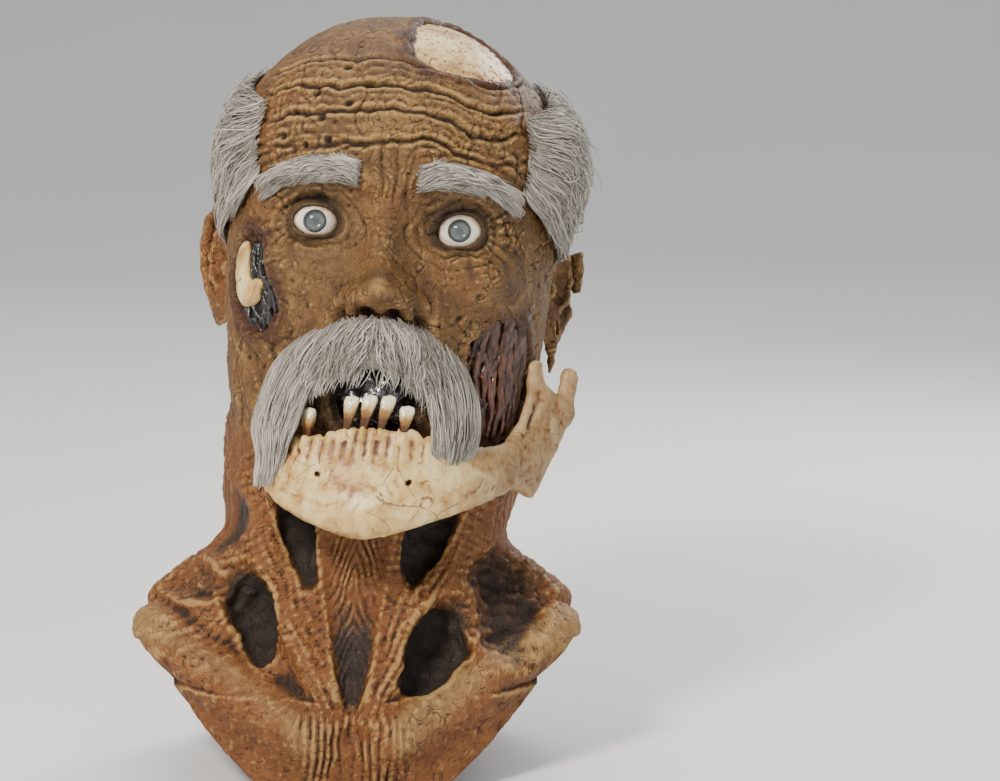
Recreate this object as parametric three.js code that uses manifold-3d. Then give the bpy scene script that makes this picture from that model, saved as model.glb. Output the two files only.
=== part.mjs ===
import * as THREE from "three";
import { mergeVertices } from "three/addons/utils/BufferGeometryUtils.js";
import Module from "manifold-3d";

// An over-the-head latex corpse mask with its neck and collar, standing on the collar's rim.
// Millimetres, +Z up. The face looks along -Y. Left and right are the wearer's, so left is at +X.
// The skin is one slush-cast latex shell. Everything else is cast, cut or laid on its own and glued in.

const wasm = await Module();
wasm.setup();

// Driving dimensions
const headHalfWidth = 104;
const domeBase = 365; // height at which the skull's dome starts
const domeHeight = 100;
const skin = 4; // wall of the latex shell
const gap = 0.4; // glue line between neighbouring pieces
const hairGap = 1.5; // under the hair and the pads, whose grids are wider than the shell's
const faceHeight = domeBase + domeHeight - 190; // crown to the chin of a closed mouth
const eyeHeight = 190 + faceHeight / 2; // the eyes sit half way down the head
const eyeSpacing = (2 * 2 * headHalfWidth) / 5 + 3; // the face is five eyes wide
const eyeRadius = 15;
const irisRadius = 6.6;
const noseBase = 270;
const mouthHeight = 222;
const mouthHalfWidth = 28;
const mouthHalfHeight = 22;
const tiltBack = THREE.MathUtils.degToRad(9); // the head leans back on its neck
const leanLeft = THREE.MathUtils.degToRad(4); // and a little to the wearer's left
const leftOfNeck = 8; // how far it is set to the left over the collar
const neckPivot = new THREE.Vector3(0, 12, 150);
const collarFlat = 40; // half the width of the rim's flat foot, front and back
const collarSide = 132;
const shoulderRim = 84; // height of the rim under the shoulders

// Level sections of the shell: height, half width, reach to the front and to the back.
const sections = [
  [-15, 127, 104, 96],
  [20, 132, 98, 95],
  [60, 134, 84, 92],
  [95, 130, 70, 88],
  [122, 113, 63, 84],
  [148, 97, 62, 82],
  [178, 89, 68, 85],
  [208, 92, 84, 92],
  [245, 97, 93, 103],
  [285, 101, 97, 112],
  [325, 103, 100, 118],
  [domeBase, headHalfWidth, 101, 120],
];
const sectionCurve = new THREE.CatmullRomCurve3(
  sections.map(([, width, front, back]) => new THREE.Vector3(width, front, back)),
);

// Soft rises and hollows: centre, push and spread.
const eyeX = eyeSpacing / 2;
const swells = [
  [[0, -100, 318], [0, -12, 0], [11, 70, 22]], // bridge of the nose
  [[0, -100, 288], [0, -28, 0], [15, 70, 15]], // tip of the nose
  [[0, -95, 248], [0, -8, 0], [34, 70, 20]], // upper lip
  [[0, -100, 352], [0, -6, 0], [18, 70, 11]], // between the brows
  [[-37, -60, 150], [0, 14, 0], [13, 45, 32]], // hollows beside the windpipe
  [[42, -60, 148], [0, 15, 0], [13, 45, 34]],
  [[-62, -66, 98], [4, 17, 0], [15, 45, 23]], // hollows over the collarbones
  [[48, -80, 80], [-2, 19, 0], [18, 45, 23]],
  [[95, -45, 112], [-9, 14, 0], [23, 40, 32]], // oval hollow towards the left shoulder
  [[-90, -20, 150], [9, 7, 0], [22, 34, 22]], // shallow one towards the right
  ...[-1, 1].flatMap((side) => [
    [[side * 16, -98, 280], [0, -15, 0], [10, 70, 9]], // wing of the nose
    [[side * 35, -95, 352], [0, -9, 0], [27, 70, 10]], // brow
    [[side * eyeX, -95, eyeHeight], [0, 12, 0], [22, 70, 15]], // eye socket
    [[side * 62, -76, 300], [side * 4, -8, 0], [20, 60, 14]], // cheekbone
    [[side * 60, -74, 252], [side * -4, 8, 0], [18, 60, 24]], // sunken cheek
    [[side * 90, -40, 345], [side * -5, 0, 0], [40, 34, 26]], // temple
    [[side * 106, 10, 142], [side * -12, 0, -3], [30, 34, 20]], // hollow behind the collarbone
  ]),
];

// Cords and bones under the skin: both ends, height and radius.
const ridges = [-1, 1].flatMap((side) => [
  [[side * 79, 0, 205], [side * 12, -92, 52], 13, 11], // neck tendon
  [[side * 22, -96, 36], [side * 134, -28, 94], 16, 18], // collarbone
  [[side * 84, 26, 200], [side * 128, 0, 112], 11, 13], // shoulder muscle
  [[side * 23, -66, 172], [side * 8, -86, 64], 6, 7], // windpipe's edge
]);

const clamp = THREE.MathUtils.clamp;
const smoothstep = THREE.MathUtils.smoothstep;

function sectionAt(z) {
  if (z >= domeBase) {
    const share = Math.sqrt(Math.max(0, 1 - ((z - domeBase) / domeHeight) ** 2));
    return sectionCurve.getPoint(1).multiplyScalar(share);
  }
  const next = Math.max(1, sections.findIndex(([height]) => height > z));
  const [low, high] = [sections[next - 1][0], sections[next][0]];
  return sectionCurve.getPoint((next - 1 + (z - low) / (high - low)) / (sections.length - 1));
}

function featureShift(point) {
  const shift = new THREE.Vector3();
  for (const [centre, push, spread] of swells) {
    const [dx, dy, dz] = centre.map((c, i) => (point.getComponent(i) - c) / spread[i]);
    const weight = Math.exp(-(dx * dx + dy * dy + dz * dz));
    shift.addScaledVector(new THREE.Vector3(...push), weight);
  }
  const outward = new THREE.Vector3(point.x, point.y, 0).normalize();
  for (const [from, to, height, radius] of ridges) {
    const line = new THREE.Line3(new THREE.Vector3(...from), new THREE.Vector3(...to));
    const near = line.closestPointToPoint(point, true, new THREE.Vector3());
    const weight = Math.exp(-near.distanceToSquared(point) / radius ** 2);
    shift.addScaledVector(outward, height * weight);
  }
  return shift;
}

// The point at an angle round the mask (0 at the nose, 90 degrees at the left ear), at a height
// and at a depth under the outer surface. A negative depth lies outside it.
function skinPoint(angle, z, depth = 0) {
  const section = sectionAt(z);
  const reach = Math.cos(angle) > 0 ? section.y : section.z;
  const side = Math.sin(angle);
  const ahead = -Math.cos(angle);
  const outer = new THREE.Vector3(section.x * side, reach * ahead, z);
  const shift = featureShift(outer);
  const dome = clamp((z - domeBase) / domeHeight, 0, 1);
  const inwards = depth * Math.sqrt(1 - dome * dome);
  outer.x -= side * inwards;
  outer.y -= ahead * inwards;
  outer.z -= depth * dome;
  return outer.add(shift);
}

// The angle at which the face has a given x at a height.
function angleAt(x, z) {
  return Math.asin(clamp(x / sectionAt(z).x, -1, 1));
}

// The head leans on the neck: every piece is shaped upright and then bent with this.
function leaned(point) {
  const share = smoothstep(point.z, 110, 215);
  return point
    .sub(neckPivot)
    .applyAxisAngle(new THREE.Vector3(1, 0, 0), -tiltBack * share)
    .applyAxisAngle(new THREE.Vector3(0, 1, 0), leanLeft * share)
    .add(neckPivot)
    .add(new THREE.Vector3(leftOfNeck * share, 0, 0));
}

// Moves every vertex of a geometry by a function of its position.
function reshaped(geometry, move) {
  const at = geometry.getAttribute("position");
  const point = new THREE.Vector3();
  for (let i = 0; i < at.count; i++) {
    const moved = move(point.fromBufferAttribute(at, i));
    at.setXYZ(i, moved.x, moved.y, moved.z);
  }
  return geometry;
}

function solidOf(geometry) {
  const bare = new THREE.BufferGeometry();
  bare.setAttribute("position", geometry.getAttribute("position"));
  bare.setIndex(geometry.index);
  const welded = mergeVertices(bare, 1e-3);
  const corners = welded.index.array;
  const faces = [];
  for (let i = 0; i < corners.length; i += 3) {
    const [a, b, c] = corners.slice(i, i + 3);
    if (a !== b && b !== c && c !== a) faces.push([a, b, c]);
  }
  const made = (list) =>
    new wasm.Manifold(
      new wasm.Mesh({
        numProp: 3,
        vertProperties: welded.getAttribute("position").array,
        triVerts: new Uint32Array(list.flat()),
      }),
    );
  const solid = made(faces);
  return solid.volume() > 0 ? solid : made(faces.map(([a, b, c]) => [a, c, b]));
}

// The largest of the bodies that a cut leaves.
function largest(solid) {
  return solid.decompose().sort((a, b) => b.volume() - a.volume())[0];
}

function meshOf(name, solid, material, bend = leaned) {
  const { numProp, vertProperties, triVerts, numVert } = solid.getMesh();
  const places = new Float32Array(numVert * 3);
  for (let i = 0; i < numVert; i++) {
    places.set(vertProperties.subarray(i * numProp, i * numProp + 3), i * 3);
  }
  const geometry = new THREE.BufferGeometry();
  geometry.setAttribute("position", new THREE.BufferAttribute(places, 3));
  geometry.setIndex(new THREE.BufferAttribute(triVerts, 1));
  reshaped(geometry, bend);
  geometry.computeVertexNormals();
  const mesh = new THREE.Mesh(geometry, material);
  mesh.name = name;
  return mesh;
}

// A block of the given divisions whose unit cube is mapped by a function of (u, v, w).
function block(divisions, map) {
  return solidOf(
    reshaped(new THREE.BoxGeometry(1, 1, 1, ...divisions), ({ x, y, z }) =>
      map(x + 0.5, y + 0.5, z + 0.5),
    ),
  );
}

const mix = THREE.MathUtils.lerp;
const finish = (color, roughness, metalness = 0) =>
  new THREE.MeshStandardMaterial({ color, roughness, metalness });
const materials = {
  latex: finish(0x7a5230, 0.7),
  bone: finish(0xd8c084, 0.5),
  enamel: finish(0xe8dcc0, 0.3),
  hair: finish(0x8f8880, 0.75),
  flesh: finish(0x4a2419, 0.45),
  black: finish(0x141210, 0.3),
  sclera: finish(0xe6e0d6, 0.15),
  iris: finish(0x7d8a8a, 0.3),
  cornea: finish(0xdfe8ea, 0.05),
  foam: finish(0x3c3c3e, 0.95),
  putty: finish(0x6b6455, 0.8),
};

// The latex shell

const columns = 52;
const shellBottom = -14;

// A lathe's profile, down the outer wall from the crown and up the inner one. Its x holds the depth
// and y the height, and the lathe only supplies the closed grid that the skin's formula shapes.
function shellSolid(outerDepth, innerDepth) {
  const outerRows = 46;
  const innerRows = 24;
  const domeShare = 0.2;
  const heightOf = (t) =>
    t < domeShare
      ? domeBase + domeHeight * Math.cos(((t / domeShare) * Math.PI) / 2)
      : mix(domeBase, shellBottom, (t - domeShare) / (1 - domeShare));
  const profile = [];
  for (let i = 0; i <= outerRows; i++) {
    profile.push([outerDepth, heightOf(i / outerRows)]);
  }
  for (let i = innerRows; i >= 0; i--) profile.push([innerDepth, heightOf(i / innerRows)]);
  const grid = new THREE.LatheGeometry(
    profile.map(([, z], i) => new THREE.Vector2(1 + i, z)),
    columns,
  );
  return solidOf(
    reshaped(grid, (point) => {
      const row = Math.round(Math.hypot(point.x, point.z)) - 1;
      const round = Math.atan2(point.x, point.z);
      const angle = round - 0.42 * Math.sin(round); // closer columns on the face
      return skinPoint(angle, profile[row][1], profile[row][0]);
    }),
  );
}

// A patch of the skin's own form, between two depths, over a window of angles and heights.
function patch(divisions, fromAngle, toAngle, fromZ, toZ, outerDepth, innerDepth) {
  return block(divisions, (u, v, w) => {
    const angle = mix(fromAngle, toAngle, u);
    return skinPoint(angle, mix(fromZ, toZ, v), mix(outerDepth, innerDepth, w));
  });
}

// A straight oval prism that points out through the skin at an angle and a height.
function windowCutter(angle, centreZ, halfWidth, halfHeight, near, far) {
  const outline = new THREE.Shape();
  outline.absellipse(0, 0, halfWidth, halfHeight, 0, 2 * Math.PI);
  const cutter = new THREE.ExtrudeGeometry(outline, {
    depth: far - near,
    bevelEnabled: false,
    curveSegments: 10,
  });
  cutter.translate(0, 0, near);
  cutter.rotateX(Math.PI / 2); // the prism now runs along -Y, its height along Z
  cutter.translate(0, 0, centreZ);
  const aim = skinPoint(angle, centreZ);
  cutter.rotateZ(Math.atan2(aim.x, -aim.y));
  return solidOf(cutter);
}

function rimCutter() {
  const far = 200;
  const outline = new THREE.Shape();
  outline.moveTo(-far, -far);
  outline.lineTo(far, -far);
  outline.lineTo(far, shoulderRim + 10);
  outline.lineTo(collarSide, shoulderRim);
  outline.bezierCurveTo(collarSide - 22, shoulderRim - 26, collarFlat + 28, 6, collarFlat, 0);
  outline.lineTo(-collarFlat, 0);
  outline.bezierCurveTo(
    -collarFlat - 28,
    6,
    -collarSide + 22,
    shoulderRim - 26,
    -collarSide,
    shoulderRim,
  );
  outline.lineTo(-far, shoulderRim + 10);
  const cutter = new THREE.ExtrudeGeometry(outline, {
    depth: 2 * far,
    bevelEnabled: false,
    curveSegments: 8,
  });
  cutter.translate(0, 0, -far);
  cutter.rotateX(Math.PI / 2);
  return solidOf(cutter);
}

function rearSlit() {
  const slitWidth = 3;
  const slitTop = 205;
  const cut = new THREE.BoxGeometry(slitWidth, 90, slitTop + 30);
  cut.translate(0, 105, (slitTop - 30) / 2);
  const relief = new THREE.CylinderGeometry(4, 4, 90, 16);
  relief.translate(0, 105, slitTop);
  return solidOf(cut).add(solidOf(relief));
}

function ball(radius, [x, y, z], across = 16, down = 10) {
  const sphere = new THREE.SphereGeometry(radius, across, down);
  sphere.rotateX(-Math.PI / 2);
  sphere.translate(x, y, z);
  return solidOf(sphere);
}

function rod(radius, from, to, sides = 16) {
  const [start, end] = [new THREE.Vector3(...from), new THREE.Vector3(...to)];
  const along = end.clone().sub(start);
  const cylinder = new THREE.CylinderGeometry(radius, radius, along.length(), sides);
  cylinder.applyQuaternion(
    new THREE.Quaternion().setFromUnitVectors(new THREE.Vector3(0, 1, 0), along.clone().normalize()),
  );
  cylinder.translate(...start.add(end).multiplyScalar(0.5).toArray());
  return solidOf(cylinder);
}

// The eyes: a white with a button of iris under a clear cap, glued in from behind.
const eyeSurface = skinPoint(angleAt(eyeX, eyeHeight), eyeHeight).y;
const eyeCentre = (side) => [side * eyeX, eyeSurface + eyeRadius - 6, eyeHeight];
const irisDepth = 10.6; // from the ball's centre to the iris's front face
const eyeBack = 5; // the ball is sawn flat this far behind its centre

function eyePieces(side) {
  const [x, y, z] = eyeCentre(side);
  const bore = rod(irisRadius + gap, [x, y - irisDepth + 1, z], [x, y - eyeRadius - 5, z]);
  const behind = rod(2 * eyeRadius, [x, y + eyeBack, z], [x, y + 3 * eyeRadius, z]);
  const iris = rod(irisRadius, [x, y - irisDepth + 0.6, z], [x, y - irisDepth, z]);
  const cap = rod(irisRadius, [x, y - irisDepth - gap, z], [x, y - 2 * eyeRadius, z]);
  const backing = rod(eyeRadius + 2, [x, y + eyeBack + gap, z], [x, y + eyeBack + 4, z]);
  const sight = rod(8, [x, y + eyeBack - 1, z], [x, y + eyeBack + 9, z]);
  return {
    ball: ball(eyeRadius, [x, y, z]).subtract(bore).subtract(behind),
    iris,
    cornea: ball(eyeRadius + 0.7, [x, y + 0.5, z]).intersect(cap),
    backing: backing.subtract(sight),
  };
}

// Openings of the shell
const cheekAngle = THREE.MathUtils.degToRad(52); // torn left cheek
const cheekHeight = 240;
const boneAngle = THREE.MathUtils.degToRad(-54); // window over the right cheekbone
const boneHeight = 290;
const plate = { from: 0.06, to: 1.12, low: 418, high: 461 }; // bare skull, high on the left
const nostrilX = 8.5;

function maskSkin() {
  let shell = shellSolid(0, skin).subtract(rimCutter()).subtract(rearSlit());
  shell = shell.subtract(
    windowCutter(0, mouthHeight, mouthHalfWidth, mouthHalfHeight, 40, 150),
  );
  shell = shell.subtract(windowCutter(cheekAngle, cheekHeight, 26, 39, 50, 130));
  shell = shell.subtract(windowCutter(boneAngle, boneHeight, 24, 31, 60, 130));
  for (const side of [-1, 1]) {
    shell = shell.subtract(ball(eyeRadius + gap, eyeCentre(side)));
    const nostril = [side * nostrilX, -112, noseBase - 8];
    shell = shell.subtract(rod(3.6, nostril, [side * 6, -88, noseBase + 14], 12));
  }
  const edge = 0.012;
  const [from, to] = [plate.from - edge, plate.to + edge];
  return shell.subtract(patch([8, 4, 1], from, to, plate.low - 1, plate.high + 0.4, -3, skin + 3));
}

// The lower jaw: a bone that runs from the right corner of the mouth round the chin, back to the
// left angle and up to its two processes.
const jawLine = new THREE.CatmullRomCurve3(
  [
    [-62, -68, 182],
    [-46, -86, 172],
    [-22, -99, 166],
    [2, -102, 164],
    [28, -100, 166],
    [54, -88, 171],
    [78, -62, 178],
    [92, -36, 188],
  ].map((p) => new THREE.Vector3(...p)),
);
const jawHeight = (u) => 23 + 24 * Math.exp(-(((u - 0.42) / 0.26) ** 2));
const jawTop = (u) => jawLine.getPoint(u).add(new THREE.Vector3(0, 0, jawHeight(u)));
const toothPlaces = [0.2, 0.33, 0.388, 0.446, 0.52];

function jawOutward(u) {
  const along = jawLine.getTangent(u);
  return new THREE.Vector3(along.y, -along.x, 0).normalize();
}

function jawBlock() {
  return block([20, 4, 1], (u, v, w) => {
    const rounding = Math.sin(Math.PI * mix(0.12, 0.88, v));
    const half = (5.5 + 3 * (1 - v)) * rounding;
    const bottom = jawLine.getPoint(u);
    const height = (u > 0.5 ? 1 : 0.9) * jawHeight(u);
    return bottom
      .add(new THREE.Vector3(0, 0, (2 * v - 0.35) * height * 0.62))
      .addScaledVector(jawOutward(u), mix(-half, half, w));
  });
}

// A flattened horn between two points.
function horn(from, to, broad, thick) {
  const line = new THREE.LineCurve3(new THREE.Vector3(...from), new THREE.Vector3(...to));
  const turn = THREE.MathUtils.degToRad(42); // the plate faces half forwards, half outwards
  const breadthways = new THREE.Vector3(Math.cos(turn), Math.sin(turn), 0);
  const outwards = new THREE.Vector3(breadthways.y, -breadthways.x, 0);
  return block([8, 3, 2], (u, v, w) => {
    const round = Math.sqrt(Math.max(0.06, 1 - (2 * u - 1) ** 6));
    const half = thick * round * Math.sin(Math.PI * mix(0.2, 0.8, v));
    return line
      .getPoint(u)
      .addScaledVector(breadthways, mix(-broad, broad, v) * round)
      .addScaledVector(outwards, mix(-half, half, w));
  });
}

function jawBone() {
  return jawBlock()
    .add(horn([91, -40, 172], [108, -23, 236], 17, 5.5)) // ramus
    .add(horn([114, -16, 222], [117, -12, 252], 6.5, 6)) // condyle
    .add(horn([99, -29, 222], [95, -33, 256], 5.5, 4)); // coronoid process
}

function toothSolid(u, clearance = 0) {
  const crown = [
    [0, -9],
    [2.6, -8.4],
    [3.4, 0],
    [3.9, 5],
    [4.2, 9],
    [3.6, 10.4],
    [0, 10.8],
  ];
  const tooth = new THREE.LatheGeometry(
    crown.map(([r, z]) => new THREE.Vector2(r > 0 ? r + clearance : 0, z < -8 ? z - clearance : z)),
    12,
  );
  tooth.rotateX(Math.PI / 2);
  tooth.scale(1, 0.8, 1);
  const { x, y } = jawOutward(u);
  tooth.rotateZ(Math.atan2(y, x) + Math.PI / 2);
  tooth.translate(...jawTop(u).add(new THREE.Vector3(0, 0, 3)).toArray());
  return solidOf(tooth);
}

// Ears: a cupped plate with a rolled edge and a bowl.
function earSolid(side, drop) {
  const outline = new THREE.Shape();
  outline.absellipse(0, 8, 19, 27, -0.35 * Math.PI, 1.3 * Math.PI);
  outline.quadraticCurveTo(-14, -24, -8, -36 - drop);
  outline.quadraticCurveTo(0, -44 - drop, 5, -34);
  const ear = new THREE.ExtrudeGeometry(outline, {
    depth: 5,
    bevelThickness: 2.5,
    bevelSize: 2.5,
    bevelSegments: 2,
    curveSegments: 8,
  });
  ear.rotateX(Math.PI / 2); // the plate's face now looks along -Y
  ear.rotateZ((side * Math.PI) / 2);
  let solid = solidOf(ear);
  const bowl = new THREE.SphereGeometry(1, 14, 10);
  bowl.scale(7, 9, 15);
  bowl.translate(side * 8, 1, 4);
  solid = solid.subtract(solidOf(bowl));
  const flare = new THREE.Matrix4().makeRotationZ(side * -0.55);
  const place = new THREE.Matrix4().makeTranslation(side * 105, 20, 305);
  return solid.transform([...place.multiply(flare).elements]);
}

// Hair and the rest of what is glued on or in

const overJaw = 30; // the moustache's wings hang in front of the bone

function moustache(room = 0) {
  const arch = new THREE.CatmullRomCurve3(
    [
      [-57, 188],
      [-57, 208],
      [-47, 236],
      [-25, 252],
      [0, 256],
      [22, 252],
      [41, 235],
      [49, 206],
      [47, 180],
    ].map(([x, z]) => new THREE.Vector3(x, 0, z)),
  );
  return block([20, 3, 1], (u, v, w) => {
    const along = arch.getTangent(u);
    const half = 15 - 2 * (2 * u - 1) ** 2 + room;
    const place = arch
      .getPoint(u)
      .addScaledVector(along, room * (2 * u - 1))
      .add(new THREE.Vector3(-along.z, 0, along.x).multiplyScalar(mix(-half, half, v)));
    const thick = 9 * Math.sin(Math.PI * mix(0.18, 0.82, v)) + room;
    const laid = skinPoint(angleAt(place.x, place.z), place.z, mix(room, -gap - thick, w));
    laid.y -= overJaw * (1 - smoothstep(place.z, 196, 240));
    return laid;
  });
}

function brow(side) {
  return block([12, 3, 1], (u, v, w) => {
    const x = side * mix(17, 74, u);
    const middle = 354 + 7 * Math.sin(Math.PI * Math.min(1, u * 0.9)) - 6 * u;
    const z = middle + mix(-9, 9, v) * (1 - 0.35 * u);
    const thick = 8 * Math.sin(Math.PI * mix(0.15, 0.85, v));
    return skinPoint(angleAt(x, z), z, mix(-gap, -gap - thick, w));
  });
}

// The fringe hangs from a line over the ear; its lower edge drops towards the nape.
function fringe(fromAngle, toAngle, topZ, bottomZ, thickness) {
  return block([12, 8, 1], (u, v, w) => {
    const angle = mix(fromAngle, toAngle, u);
    const z = mix(bottomZ(u), topZ(u), v);
    const thick = thickness * Math.sin(Math.PI * mix(0.12, 0.8, v)) ** 0.7;
    return skinPoint(angle, z, mix(-hairGap, -hairGap - thick, w));
  });
}

const mask = new THREE.Group();
const skinSolid = largest(maskSkin());
mask.add(meshOf("mask_skin", skinSolid, materials.latex));

// Anything that lies against the shell is cut back from this slightly thicker one.
const clearance = shellSolid(-gap, skin + gap).subtract(rimCutter());
const trimmed = (solid, ...others) =>
  largest(others.reduce((left, other) => left.subtract(other), solid.subtract(clearance)));

const teeth = toothPlaces.map((u) => toothSolid(u));
const sockets = toothPlaces.map((u) => toothSolid(u, gap));
const moustacheSolid = trimmed(moustache(), ...sockets);
const moustacheRoom = moustache(1.5 * gap);
const jaw = trimmed(jawBone(), ...sockets, moustacheRoom);
mask.add(meshOf("jawbone", jaw, materials.bone));
teeth.forEach((tooth, i) => {
  mask.add(meshOf(`tooth_${i + 1}`, tooth, materials.enamel));
});
mask.add(meshOf("moustache", moustacheSolid, materials.hair));

for (const [name, side] of [
  ["right", -1],
  ["left", 1],
]) {
  const eye = eyePieces(side);
  mask.add(meshOf(`eye_${name}_white`, eye.ball, materials.sclera));
  mask.add(meshOf(`eye_${name}_iris`, eye.iris, materials.iris));
  mask.add(meshOf(`eye_${name}_cornea`, eye.cornea, materials.cornea));
  mask.add(meshOf(`eye_${name}_backing`, trimmed(eye.backing), materials.putty));
  mask.add(meshOf(`brow_${name}`, trimmed(brow(side)), materials.hair));
  mask.add(meshOf(`ear_${name}`, trimmed(earSolid(side, side > 0 ? 8 : 0)), materials.latex));
  const temple = patch([5, 4, 1], side * 1.15, side * 1.75, 330, 385, skin + 2.4, skin + 12);
  mask.add(meshOf(`temple_pad_${name}`, temple, materials.foam));
}

const { from, to, low, high } = plate;
const plateSolid = patch([8, 4, 1], from, to, low, high, 1.2, skin);
mask.add(meshOf("skull_plate", plateSolid, materials.bone));

// Behind the mouth, a black pan closes the shell; the tongue lies in it.
const pan = block([8, 6, 1], (u, v, w) => {
  const across = mix(-1, 1, u);
  const up = mix(-1, 1, v);
  const hollow = 12 * (1 - across ** 4) * (1 - up ** 4);
  const x = across * (mouthHalfWidth + 6);
  const z = mouthHeight + up * (mouthHalfHeight + 6);
  return skinPoint(angleAt(x, z), z, skin + gap + hollow + 2 * w);
});
mask.add(meshOf("mouth_liner", trimmed(pan), materials.black));
const tongueShape = new THREE.SphereGeometry(1, 16, 10);
tongueShape.scale(15, 8, 9);
tongueShape.translate(0, -86, mouthHeight + 2);
const tongue = solidOf(tongueShape).subtract(pan).subtract(pan.translate([0, -gap, 0]));
mask.add(meshOf("tongue", largest(tongue), materials.black));

// Flesh that shows through the torn cheek, and sinew behind the cheekbone
const eyeRooms = [-1, 1].map((side) => ball(eyeRadius + gap, eyeCentre(side)));
function backingPatch(divisions, angle, height, halfAngle, halfHeight, thickness) {
  const [from, to] = [angle - halfAngle, angle + halfAngle];
  const [low, high] = [height - halfHeight, height + halfHeight];
  return trimmed(patch(divisions, from, to, low, high, skin + gap, skin + thickness), ...eyeRooms);
}
const fleshSolid = backingPatch([6, 6, 1], cheekAngle, cheekHeight, 0.42, 44, 4);
mask.add(meshOf("cheek_flesh", fleshSolid, materials.flesh));
const sinewSolid = backingPatch([4, 4, 1], boneAngle, boneHeight, 0.34, 32, 3);
mask.add(meshOf("cheek_sinew", sinewSolid, materials.black));
const boneSolid = block([10, 4, 1], (u, v, w) => {
  const z = mix(boneHeight - 16, boneHeight + 22, u);
  const narrowing = Math.sqrt(1 - 0.9 * (2 * u - 1) ** 4);
  const angle = boneAngle - 0.08 + (u - 0.6) * 0.05 + mix(-0.13, 0.13, v) * narrowing;
  const bulge = 4 * Math.sin(Math.PI * mix(0.2, 0.8, v)) * Math.sin(Math.PI * mix(0.1, 0.9, u));
  return skinPoint(angle, z, mix(skin - 0.2, skin - 0.6 - bulge, w));
});
mask.add(meshOf("cheekbone", boneSolid, materials.bone));

// Grey hair at both sides and round the back
const sideStart = 0.95; // radians round the head, from the nose
const sideEnd = 2.09;
const sideTop = (u) => mix(398, 424, Math.min(1, u * 1.6));
const sideBottom = (u) => mix(352, 300, u);
for (const [name, side] of [
  ["right", -1],
  ["left", 1],
]) {
  const hair = fringe(side * sideStart, side * sideEnd, sideTop, sideBottom, side > 0 ? 18 : 11);
  mask.add(meshOf(`hair_${name}`, largest(hair.subtract(earClear(side))), materials.hair));
}
const seam = 0.008;
const nape = (u) => mix(300, 238, Math.sin(Math.PI * u));
const backHair = fringe(sideEnd + seam, 2 * Math.PI - sideEnd - seam, () => 424, nape, 13);
mask.add(meshOf("hair_back", backHair, materials.hair));
const crownPad = patch([14, 4, 1], -2.6, 2.6, 436, 458, skin + hairGap, skin + 11);
mask.add(meshOf("crown_pad", crownPad, materials.foam));

// The hair parts round the ear with a little room.
function earClear(side) {
  const room = new THREE.SphereGeometry(1, 12, 8);
  room.scale(32, 32, 39);
  room.translate(side * 113, 23, 309);
  return solidOf(room);
}

// The part's origin is on the ground under the middle of the mask.
const box = new THREE.Box3().setFromObject(mask);
const middle = box.getCenter(new THREE.Vector3());
mask.position.set(-middle.x, -middle.y, -box.min.z);

export default mask;
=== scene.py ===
import math
from functools import partial

import bpy
import numpy as np
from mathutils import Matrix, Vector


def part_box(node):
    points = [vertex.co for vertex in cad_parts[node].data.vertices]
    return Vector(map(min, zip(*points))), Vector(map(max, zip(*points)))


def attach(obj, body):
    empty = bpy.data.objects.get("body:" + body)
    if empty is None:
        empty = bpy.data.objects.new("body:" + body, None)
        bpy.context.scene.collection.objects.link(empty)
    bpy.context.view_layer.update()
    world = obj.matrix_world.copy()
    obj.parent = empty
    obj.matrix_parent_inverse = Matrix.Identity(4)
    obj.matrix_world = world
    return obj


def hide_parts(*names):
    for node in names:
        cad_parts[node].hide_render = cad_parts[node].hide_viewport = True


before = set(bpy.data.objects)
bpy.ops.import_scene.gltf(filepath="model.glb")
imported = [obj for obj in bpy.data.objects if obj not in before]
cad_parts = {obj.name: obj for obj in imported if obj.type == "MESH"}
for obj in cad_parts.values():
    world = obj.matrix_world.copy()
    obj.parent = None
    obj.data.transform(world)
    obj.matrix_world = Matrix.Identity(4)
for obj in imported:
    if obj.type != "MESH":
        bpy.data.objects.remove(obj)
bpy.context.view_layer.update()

import openvdb
from mathutils import Vector

# A latex corpse mask, built round its CAD frame. Shapes are worked out upright and in millimetres,
# then leaned as the head leans and put in the frame's metres. Left is the wearer's, at +X.

view = {"distance": 1.62, "lens": 92, "height": 0.2290, "across": 0.0838, "elevation": 8.0}


def makeCamera():
    lift = math.radians(view["elevation"])
    target = Vector((view["across"], 0, view["height"]))
    back = Vector((0, -math.cos(lift), math.sin(lift)))
    data = bpy.data.cameras.new("camera")
    data.lens = view["lens"]
    camera = bpy.data.objects.new("camera", data)
    camera.location = target + back * view["distance"]
    camera.rotation_euler = (-back).to_track_quat("-Z", "Y").to_euler()
    bpy.context.collection.objects.link(camera)
    bpy.context.scene.camera = camera


makeCamera()

# the mask's own form, as the CAD makes it

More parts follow.
